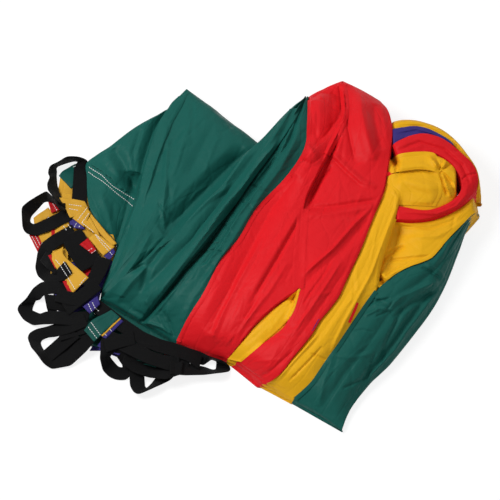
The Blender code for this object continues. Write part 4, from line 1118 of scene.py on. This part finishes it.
def make_lobe(node, left, right, seed, **shape):
    """The cloth of one folded gore, in place of its solid."""
    creases = [*CREASES.get(node, ()), *scattered(left, right, seed)]
    colour = node.split("_")[0]
    obj = lofted(node + "_cloth", left, right, **shape)
    creased(obj.data, creases, CREASE_SPLIT_MM, 99)
    slackened(obj, SLACK_ACROSS, SLACK_ALONG, SLACK_CAP)
    soften = obj.modifiers.new("soften", "SUBSURF")
    soften.levels = 1
    soften.render_levels = 1
    apply_modifiers(obj)
    creased(obj.data, creases, 0, CREASE_SPLIT_MM)
    plied(obj.data, seed)
    rippled(obj.data, seed)
    # Gathered cloth takes the hems' darker finish: painted shade where the hems and handles lie over it.
    finished(obj, FINISHES[colour + ("_hem" if node.endswith("gather") else "")], colour + "_nylon")
    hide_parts(node)
    return obj


def make_lobes():
    """The folded gores from left to right, the roll at the right-hand end, and the cloth under the hems."""
    rails = {name: rail(table, stations) for name, (stations, table) in RAILS_PX_SHARES.items()}
    lobes = []

    def add(node, left, right, seed, **shape):
        lobes.append(make_lobe(node, left, right, seed, **shape))

    add("green_gore_hem_flap", rail(FLAP_EDGE_PX_SHARES, 15), rails["first_fold"][2:17], 1.0,
        crown_share=0.05, rail_shares=(1, 0.8), soft_sides=(0.3, 0.6), end_shares=BACK_ENDS,
        open_sides=(True, False))
    add("green_gore_left", rails["first_fold"], rails["ridge"][:19], 2.0,
        crown_share=0.05, rail_shares=(1, 0.55), fold_shares=((0.45, 0.35, 0.10, 0.2),),
        soft_sides=(0.5, 0.8), end_shares=BACK_ENDS)
    add("green_gore_middle", rails["ridge"], rails["green_red"], 3.0, crown_share=0.03,
        fold_shares=((0.30, 0.25, -0.20, 0.14), (0.62, 0.55, -0.20, 0.14), (0.46, 0.42, 0.08, 0.14)),
        soft_sides=(0.4, 0.9), end_shares=BACK_ENDS)
    add("red_gore_left", rails["green_red"], join(rails["sliver_left"], rails["slit"]), 4.0,
        crown_share=0.04, soft_sides=(0.9, 0.5), end_shares=BACK_ENDS)
    under = join(rails["sliver_right"], rails["slit"])
    # The right-hand red lobe lies deeper where the left-hand one laps over it.
    beside = np.linspace(0, 1, len(under))
    under[:, 2] *= 1 - TUCK_SHARE * step_up(beside, 0.55, 0.62) * (1 - step_up(beside, 0.72, 0.82))
    add("red_gore_right", under, rails["red_yellow"], 5.0,
        crown_share=0.04, soft_sides=(0.7, 0.9), end_shares=BACK_ENDS)
    add("yellow_gore_sliver", rails["sliver_left"][:-1], rails["sliver_right"][:-1], 6.0,
        crown_share=0.02, rail_shares=(0.9, 0.9), round_off_shares=(0.02, 0.0))
    strip_right = join(rails["yellow_green"], rails["strip_panel"], rails["strip_top"])
    add("yellow_gore_strip", rails["red_yellow"][:len(strip_right)], strip_right, 7.0,
        crown_share=0.03, rail_shares=(0.92, 1), soft_sides=(0.9, 0.5))
    add("yellow_gore_panel", join(rails["strip_panel"], rails["band_front"])[1:],
        rails["panel_green"][1:], 8.0, crown_share=0.02, rail_shares=(0.85, 1))
    add("green_gore_right", join(rails["yellow_green"], rails["panel_green"]), rails["right_edge"], 9.0,
        crown_share=0.04, rail_shares=(0.95, 1),
        fold_shares=((0.5, 0.45, -0.12, 0.15), (0.8, 0.8, 0.06, 0.12)), soft_sides=(0.8, 0.3),
        open_sides=(False, True))
    inside = rails["band_inside"]
    half = len(inside) // 2 - 1
    add("red_gore_roll", inside, join(rails["band_front"], rails["band_side"], rails["band_back"]), 10.0,
        crown_share=0.015, soft_sides=(0.8, 0.8), end_shares=(0.9, 0.9))
    add("yellow_gore_core", inside[:half], inside[:-half - 1:-1], 11.0,
        crown_share=0.09, rail_shares=(0.92, 0.96), fold_shares=((0.6, 0.5, -0.15, 0.2),),
        soft_sides=(0.3, 0.3), end_shares=(0.9, 0.6))
    add("blue_gore_roll", rails["band_back"][1:], rails["blue_edge"][1:], 12.0,
        crown_share=0.02, rail_shares=(0.9, 1), soft_sides=(0.5, 0.5), end_shares=(END_SHARE, 0.95))
    add("yellow_gore_roll", join(rails["band_side"], rails["blue_edge"]), rails["outer_edge"], 13.0,
        crown_share=0.03, rail_shares=(0.9, 1), soft_sides=(0.5, 0.3), end_shares=(END_SHARE, 0.95),
        open_sides=(False, True))
    first_fold, ridge_start, seam_start = rails["first_fold"], rails["ridge"][0], rails["green_red"][0]
    corner = np.array([rails["flap_edge"][0], first_fold[2], first_fold[1], first_fold[0], ridge_start])
    front = np.linspace(ridge_start, seam_start, FRONT_STATIONS)
    for node, table, inner, seed in (("yellow_gore_gather", GATHER_LEFT_PX, rails["flap_edge"][:8], 14.0),
                                     ("blue_gore_gather", GATHER_CORNER_PX, corner, 15.0),
                                     ("green_gore_gather", GATHER_FRONT_PX, front, 16.0)):
        outer = rail([(*pixel, GATHER_SHARE) for pixel in table], len(inner))
        level = np.array(inner)
        level[:, 2] = GATHER_SHARE * LOFT
        add(node, outer, level, seed, round_off_shares=(0.0, 0.0), open_sides=(True, False))
    return lobes


class Skin:
    """The faces that some pieces show, for laying stitches on them as the picture sees them."""

    def __init__(self, pieces):
        points, faces = [], []
        for piece in pieces:
            before = len(points)
            points += [vert.co.copy() for vert in piece.data.vertices]
            faces += [[before + index for index in face.vertices] for face in piece.data.polygons]
        self.tree = BVHTree.FromPolygons(points, faces)

    def under(self, across, down):
        """The point and the face's normal that show at a pixel."""
        way = Vector(VIEW)
        place, normal, _, _ = self.tree.ray_cast(Vector(spot(across, down, 0)) + way, -way)
        return place, normal


def closed_net(name, upper, lower, places):
    """A closed mesh from an upper and a lower grid of points that meet at their borders."""
    rows, columns = upper.shape[:2]
    bm = bmesh.new()
    map_layer = bm.loops.layers.uv.new("weave")
    top = [[bm.verts.new(point) for point in row] for row in upper]
    base = [[bm.verts.new(point) for point in row] for row in lower]
    place = {}
    for grid in (top, base):
        for verts, row in zip(grid, places):
            place.update(zip(verts, row))
    for i in range(rows - 1):
        for j in range(columns - 1):
            bm.faces.new((top[i][j], top[i + 1][j], top[i + 1][j + 1], top[i][j + 1]))
            bm.faces.new((base[i][j], base[i][j + 1], base[i + 1][j + 1], base[i + 1][j]))
    for j in range(columns - 1):
        bm.faces.new((top[0][j], top[0][j + 1], base[0][j + 1], base[0][j]))
        bm.faces.new((top[-1][j], base[-1][j], base[-1][j + 1], top[-1][j + 1]))
    for i in range(rows - 1):
        bm.faces.new((top[i][0], base[i][0], base[i + 1][0], top[i + 1][0]))
        bm.faces.new((top[i][-1], top[i + 1][-1], base[i + 1][-1], base[i][-1]))
    for face in bm.faces:
        for loop in face.loops:
            loop[map_layer].uv = place[loop.vert]
    return closed(bm, name)


# A strip's cross-section: how far across from its middle, and its thickness there, as shares.
STRIP_SECTION = ((-1, 0.3), (-0.975, 0.8), (-0.9, 1.0), (-0.5, 0.92), (0, 0.92), (0.5, 0.92), (0.9, 1.0),
                 (0.975, 0.8), (1, 0.3))


def woven(name, inner, outer, thickness, seed, cup):
    """A woven strip between two edges, each a run of points."""
    centres = (inner + outer) / 2
    ways = np.gradient(centres, axis=0)
    ways /= np.linalg.norm(ways, axis=1)[:, None]
    facing = np.cross(ways, outer - inner)
    facing /= np.linalg.norm(facing, axis=1)[:, None]
    along = run_of(centres)
    upper, lower, place = [], [], []
    for centre, half, face, done in zip(centres, (outer - inner) / 2, facing, along):
        bend = cup * noise.noise(Vector((done * 28, seed, 0)))
        twist = 0.6 * cup * noise.noise(Vector((done * 40, seed, 5)))
        middle = [centre + half * u + face * (bend * (u * u - 0.4) * 2 + twist * u) for u, _ in STRIP_SECTION]
        for side, face_way in ((upper, face), (lower, -face)):
            side.append([point + face_way * share * thickness / 2
                         for point, (_, share) in zip(middle, STRIP_SECTION)])
        place.append([(u * np.linalg.norm(half), done) for u, _ in STRIP_SECTION])
    return closed_net(name, np.array(upper), np.array(lower), place)


def pleated(name, rows, side, width, thickness, seed):
    """A strip folded back and forth in flat plies, which keeps its way across."""
    fine = curve_through(rows, np.linspace(0, len(rows) - 1, (len(rows) - 1) * CURVE_STEPS + 1))
    centres = even(rows, max(int(run_of(fine)[-1] / STRIP_STEP), 4))
    return woven(name, centres - side * width / 2, centres + side * width / 2, thickness, seed, PLEAT_CUP)


def edges_of(rows):
    """The inner and outer edge of webbing of full width that shows between two runs of pixels."""
    inner, outer = [], []
    for across, down, far_across, far_down, low, stands in rows:
        if not stands:
            low = low / 1000 + WEBBING_THICKNESS / 2
            one, two = spot(across, down, low), spot(far_across, far_down, low)
            half = unit(two - one) * WEBBING_WIDTH / 2
            inner.append((one + two) / 2 - half)
            outer.append((one + two) / 2 + half)
            continue
        wide, tall = (far_across - across) * PIXEL, (down - far_down) * PIXEL
        deep = math.sqrt(max(WEBBING_WIDTH ** 2 - wide ** 2 - tall ** 2, 0))
        rises = [tall * math.cos(VIEW_ELEVATION) + sign * deep * math.sin(VIEW_ELEVATION) for sign in (1, -1)]
        rise = rises[0] if stands > 0 else rises[1]
        low = low / 1000 + WEBBING_THICKNESS / 2
        inner.append(spot(across, down, low - min(rise, 0)))
        outer.append(spot(far_across, far_down, low + max(rise, 0)))
    return np.array(inner), np.array(outer)


def webbing(name, rows, seed):
    """A strip of webbing with straight runs and firm corners, as it folds."""
    inner, outer = edges_of(rows)
    done = run_of((inner + outer) / 2)
    count = max(int(done[-1] / STRIP_STEP), 6)
    at = np.linspace(0, done[-1], count + 1)
    edges = []
    for edge in (inner, outer):
        edge = np.stack([np.interp(at, done, edge[:, k]) for k in range(3)], axis=1)
        for _ in range(CORNER_PASSES):
            edge[1:-1] = (edge[:-2] + 2 * edge[1:-1] + edge[2:]) / 4
        edges.append(edge)
    return woven(name, *edges, WEBBING_THICKNESS, seed, STRIP_CUP), done[-1]


def ply(name, left, right, thickness, seed):
    """A loose ply of a hem between two edges, each a run of (across, down, height in millimetres)."""
    left, right = (np.array([spot(across, down, height / 1000) for across, down, height in edge])
                   for edge in (left, right))
    length = max(run_of(left)[-1], run_of(right)[-1])
    rows = max(int(length / PLY_STEP), 4)
    left, right = even(left, rows + 1), even(right, rows + 1)
    columns = max(int(np.linalg.norm(right - left, axis=1).max() / PLY_STEP), 4)
    us = np.linspace(0, 1, columns + 1)
    grid = left[:, None] + (right - left)[:, None] * us[None, :, None]
    for i in range(rows + 1):
        for j in range(columns + 1):
            p = Vector(grid[i, j])
            grid[i, j, 2] += PLY_WAVE * (noise.noise(p * 70 + Vector((seed, 0, 0))) + 0.6 * math.sin(
                (i / rows * 5.3 + seed) * 2 + j / columns))
    away = np.minimum(np.minimum(us, 1 - us)[None, :] * columns, border_steps(rows)[:, None])
    half = np.where(away < 0.5, 0.35, 1.0) * thickness / 2
    lift = np.zeros_like(grid)
    lift[:, :, 2] = half
    place = [[(u * HEM_WIDTH, i * PLY_STEP) for u in us] for i in range(rows + 1)]
    return closed_net(name, grid + lift, grid - lift, place)


def border_steps(count):
    """How many steps each of a run of points is from the nearer end."""
    at = np.arange(count + 1)
    return np.minimum(at, count - at)


def sharpened(mesh):
    """Keeps the shading of a thin ply from rounding over its cut edges."""
    bm = bmesh.new()
    bm.from_mesh(mesh)
    for edge in bm.edges:
        edge.smooth = edge.calc_face_angle(0) < EDGE_ANGLE
    bm.to_mesh(mesh)
    bm.free()


def draped(name, left, right, skin, colour, puff=0.0, hang=0.0):
    """A thin ply that lies on whatever shows between two runs of pixels, drawn taut over the gaps in it."""
    left, right = np.array(left, float), np.array(right, float)
    rows = max(int(max(run_of(left)[-1], run_of(right)[-1]) / DRAPE_STEP_PX), 4)
    left, right = even(left, rows + 1), even(right, rows + 1)
    columns = max(int(np.linalg.norm(right - left, axis=1).max() / DRAPE_STEP_PX), 3)
    base = np.zeros((rows + 1, columns + 1, 3))
    rise = np.full((rows + 1, columns + 1), np.nan)
    for i in range(rows + 1):
        for j in range(columns + 1):
            across, down = left[i] + (right[i] - left[i]) * j / columns
            base[i, j] = spot(across, down, 0)
            place, _ = skin.under(across, down)
            if place is not None and place.z > DRAPE_LEAST_HEIGHT:
                rise[i, j] = (np.array(place) - base[i, j]) @ VIEW
    while np.isnan(rise).any():
        # Past the edge of what lies under it, a ply keeps on as it was.
        wide = np.pad(rise, 1, constant_values=np.nan)
        near = np.stack([wide[:-2, 1:-1], wide[2:, 1:-1], wide[1:-1, :-2], wide[1:-1, 2:]])
        known = ~np.isnan(near)
        mean = np.where(known, near, 0).sum(0) / np.maximum(known.sum(0), 1)
        rise = np.where(np.isnan(rise) & known.any(0), mean, rise)
    for _ in range(DRAPE_PASSES):
        wide = np.pad(rise, 1, mode="edge")
        mean = (wide[:-2, 1:-1] + wide[2:, 1:-1] + wide[1:-1, :-2] + wide[1:-1, 2:]) / 4
        rise = np.maximum(rise, mean)
    us = np.linspace(0, 1, columns + 1)
    from_ends, from_sides = border_steps(rows), border_steps(columns)
    ends = step_up(from_ends / rows, 0, 0.12)
    across = step_up(us, 0, 0.7) * (1 - (1 - hang) * step_up(us, 0.75, 1))
    rise += puff / 1000 * across[None, :] * ends[:, None]
    steps = np.minimum(from_sides[None, :], from_ends[:, None])
    thick = np.where(steps < 1, 0.3, 1.0) * DRAPE_THICKNESS
    lower = base + VIEW * (rise + np.where(steps < 1, 0.4, 1.0) * DRAPE_CLEARANCE)[:, :, None]
    upper = lower + VIEW * thick[:, :, None]
    place = [[(j * DRAPE_STEP_PX * PIXEL, i * DRAPE_STEP_PX * PIXEL) for j in range(columns + 1)]
             for i in range(rows + 1)]
    obj = closed_net(name, upper, lower, place)
    finished(obj, FINISHES[colour], colour + "_nylon")
    sharpened(obj.data)
    width = np.linalg.norm(upper[:, -1] - upper[:, 0], axis=1).mean()
    return obj


def make_drapes(lobes):
    """The sewn seams between the colours, and the small plies that lie over the lobes."""
    skin = Skin(lobes)
    drapes = []
    for name, (rail_name, first, last, reach_left, reach_right, colour) in SEAMS.items():
        table, stations = RAILS_PX_SHARES[rail_name][1], RAILS_PX_SHARES[rail_name][0]
        line = seen(curve_through(rail(table, stations), np.linspace(first, last, 40)))
        ways = np.gradient(line, axis=0)
        ways /= np.linalg.norm(ways, axis=1)[:, None]
        across = np.stack([-ways[:, 1], ways[:, 0]], axis=1)
        drapes.append(draped(name, line + across * reach_left, line + across * reach_right, skin, colour))
    for name, (colour, puff, hang, left, right) in DRAPES_PX.items():
        drapes.append(draped(name, left, right, skin, colour, puff, hang))
    return drapes


def hem_ends(node):
    """The two ends of a hem, at the height of the gathered cloth."""
    return tuple(spot(*pixel, GATHER_SHARE * LOFT) for pixel in HEMS_PX[node])


def ways_of(start, end):
    """The level way along a hem, and the way out of it."""
    along = unit(end - start)
    return along, np.array([along[1], -along[0], 0.0])


def joined(name, pieces):
    """Some objects made into one."""
    choose(pieces)
    bpy.ops.object.join()
    pieces[0].select_set(False)
    pieces[0].name = name
    return pieces[0]


def make_hem(node, seed):
    """A gore's hem: three pleats lying on the gathered cloth, and the loose plies that the picture shows."""
    start, end = hem_ends(node)
    start, end = start + (end - start) * HEM_TRIM, end - (end - start) * HEM_TRIM
    along, out = ways_of(start, end)
    base = GATHER_TOP + REST_GAP + HEM_THICKNESS / 2
    rows = []
    for number in range(3):
        near, far, turned = (start, end, along) if number % 2 == 0 else (end, start, -along)
        shift = out * PLEAT_SHIFT * math.sin(seed * 3 + number * 2.1)
        height = base + 2 * number * PLEAT_RADIUS
        near = np.array([near[0], near[1], height]) + shift + turned * PLEAT_RADIUS
        far = np.array([far[0], far[1], height]) + shift - turned * PLEAT_RADIUS
        rows += [near + (far - near) * t for t in (0, 0.33, 0.67, 1)]
        if number < 2:
            rows.append(far + turned * PLEAT_RADIUS + np.array([0, 0, PLEAT_RADIUS]))
    rows = np.array(rows)
    length = run_of(rows)[-1]
    pieces = [pleated(node + "_pleats", rows, out, HEM_WIDTH, HEM_THICKNESS, seed)]
    area = length * HEM_WIDTH
    for number, (left, right) in enumerate(HEM_PLIES_PX.get(node, ())):
        piece = ply(node + "_ply", left, right, HEM_THICKNESS * 0.8, seed + number)
        area += sum(face.area for face in piece.data.polygons) / 2
        pieces.append(piece)
    obj = joined(node + "_cloth", pieces)
    colour = node.split("_")[0]
    # A darker finish than the gore's: partly the hem's two plies, partly painted shade of the heap.
    finished(obj, FINISHES[colour + "_hem"], colour + "_nylon")
    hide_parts(node)
    return obj


def make_handle(node, seed):
    """A webbing handle: a folded one lies in the heap and is attached to the bundle, an open one is not
    attached.
    """
    strips, lengths = zip(*(webbing(node + "_strip", rows, seed + number)
                            for number, rows in enumerate(WEBBING_PX[node])))
    obj = joined(node + "_webbing", strips)
    hem = HANDLE_HEMS.get(node)
    finished(obj, FINISHES["webbing"], "black_webbing", body=None if hem else "bundle")
    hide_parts(node)
    if hem:
        _, out = ways_of(*hem_ends(hem))
        joint = next(joint for joint in frame["joints"] if joint["child"] == node + "_body")
        turn = np.array(joint["pos_m"])
        tuple(turn + out * BEND_RUN)
        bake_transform(obj)
    return obj


# One stitch: a short rounded bar of thread, as rings of (place along, half width, height).
STITCH_RINGS = ((-0.5, 0.35, 0.30), (-0.36, 0.9, 0.85), (0.0, 1.0, 1.0), (0.36, 0.9, 0.85), (0.5, 0.35, 0.30))
STITCH_LENGTH = 0.0030
STITCH_PITCH = 0.0038
STITCH_HALF_WIDTH = 0.00062
STITCH_HEIGHT = 0.00055


def stitched(name, skin, lines, slot):
    """Rows of stitches laid on what shows along each run of pixels."""
    bm = bmesh.new()
    for line in lines:
        pixels = np.array(line, float)
        run = run_of(pixels)
        count = max(int(run[-1] * PIXEL * 1.05 / STITCH_PITCH), 1)
        for number in range(count):
            ends = []
            for share in ((number + 0.5 - 0.39) / count, (number + 0.5 + 0.39) / count):
                at = share * run[-1]
                ends.append(skin.under(*(np.interp(at, run, pixels[:, k]) for k in (0, 1))))
            (one, normal, *_), (two, _, *_) = ends
            if one is None or two is None or (two - one).length > 2.2 * STITCH_LENGTH:
                continue
            way = (two - one).normalized()
            side = normal.cross(way).normalized()
            up = way.cross(side)
            middle = (one + two) / 2
            rings = []
            for place, wide, high in STITCH_RINGS:
                centre = middle + way * place * (two - one).length
                rings.append([bm.verts.new(
                    centre + side * math.cos(angle) * wide * STITCH_HALF_WIDTH
                    + up * (math.sin(angle) * high * STITCH_HEIGHT + 0.0001))
                    for angle in (math.radians(60 * k) for k in range(6))])
            for ring, after in zip(rings, rings[1:]):
                for k in range(6):
                    bm.faces.new((ring[k], ring[(k + 1) % 6], after[(k + 1) % 6], after[k]))
            bm.faces.new(list(reversed(rings[0])))
            bm.faces.new(rings[-1])
    bmesh.ops.recalc_face_normals(bm, faces=bm.faces)
    return finished(object_of(bm, name), FINISHES["thread"], slot)


def make_hems_and_handles(lobes):
    """Hems, webbing handles, and the white stitching on them."""
    hems = [make_hem(node, float(number)) for number, node in enumerate(HEMS_PX)]
    handles = [make_handle(node, float(number)) for number, node in enumerate(WEBBING_PX)]
    skin = Skin(lobes + hems + handles)
    stitched("hem_stitching", skin, STITCHES_PX, "yellow_nylon")
    stitched("flap_stitching", skin, FLAP_STITCHES_PX + CORNER_STITCHES_PX, "green_nylon")


lobes = make_lobes()
make_drapes(lobes)
make_hems_and_handles(lobes)


FLOOR_SIZE = 8
FLOOR_DROP = 0.0006       # how far the floor lies below the cloth
FLOOR_COLOUR = (0.86, 0.86, 0.86)
FLOOR_GLOW = 1.14
FLOOR_GLOW_SHARE = 0.72
ROOM_LIGHT = 0.26
LIT_HEIGHT = 0.03         # what the lamps point at, above the middle of the floor
CAMERA_DISTANCE = 14.0
FILM_WIDTH_MM = 36
FARTHEST_SEEN = 40
# Each lamp: where it stands, its size in metres and its power in watts.
LAMPS = {
    "key": ((-1.35, 0.2, 1.9), 1.1, 41),
    "fill": ((1.6, -1.1, 1.8), 2.0, 8.5),
    "back": ((0.6, 2.0, 1.8), 1.6, 9),
}


def make_floor():
    """A pale floor that keeps the bundle's soft shadow."""
    bpy.ops.mesh.primitive_plane_add(size=FLOOR_SIZE, location=(0, 0, -FLOOR_DROP))
    floor = bpy.context.object
    floor.name = "floor"
    floor.select_set(False)
    paper = Surface("floor_paper", FLOOR_COLOUR, {"Roughness": 1, "Specular IOR Level": 0})
    path = paper.node("ShaderNodeLightPath")
    seen_ray = Number(paper, path.outputs["Is Camera Ray"]).math("MAXIMUM", path.outputs["Is Glossy Ray"])
    glow = paper.node("ShaderNodeEmission", None, {"Strength": FLOOR_GLOW})
    mix = paper.node("ShaderNodeMixShader", None, {
        0: seen_ray * FLOOR_GLOW_SHARE, 1: paper.shader.outputs[0], 2: glow.outputs[0]})
    paper.feed(paper.tree.nodes["Material Output"].inputs["Surface"], mix.outputs[0])
    floor.data.materials.append(paper.material)


def make_light():
    """Three soft lamps and a plain bright room."""
    for name, (place, size, power) in LAMPS.items():
        lamp = bpy.data.lights.new(name, "AREA")
        lamp.shape = "DISK"
        lamp.size = size
        lamp.energy = power
        obj = bpy.data.objects.new(name, lamp)
        obj.location = place
        obj.rotation_euler = (Vector((0, 0, LIT_HEIGHT)) - Vector(place)).to_track_quat("-Z", "Y").to_euler()
        bpy.context.scene.collection.objects.link(obj)
    world = bpy.data.worlds.new("room")
    world.use_nodes = True
    world.node_tree.nodes["Background"].inputs["Color"].default_value = (1, 1, 1, 1)
    world.node_tree.nodes["Background"].inputs["Strength"].default_value = ROOM_LIGHT
    bpy.context.scene.world = world
    bpy.context.scene.view_settings.view_transform = "Standard"


def make_camera():
    """The camera at the picture's angle, with the picture's scale."""
    aim = Vector(spot(PICTURE_WIDTH_PX / 2, PICTURE_WIDTH_PX / 2, 0))
    camera = bpy.data.objects.new("camera", bpy.data.cameras.new("camera"))
    camera.data.sensor_width = FILM_WIDTH_MM
    camera.data.lens = FILM_WIDTH_MM * CAMERA_DISTANCE / (PICTURE_WIDTH_PX * PIXEL)
    camera.data.clip_end = FARTHEST_SEEN
    camera.location = aim + Vector(VIEW) * CAMERA_DISTANCE
    camera.rotation_euler = (-Vector(VIEW)).to_track_quat("-Z", "Y").to_euler()
    bpy.context.scene.collection.objects.link(camera)
    bpy.context.scene.camera = camera


make_floor()
make_light()
make_camera()
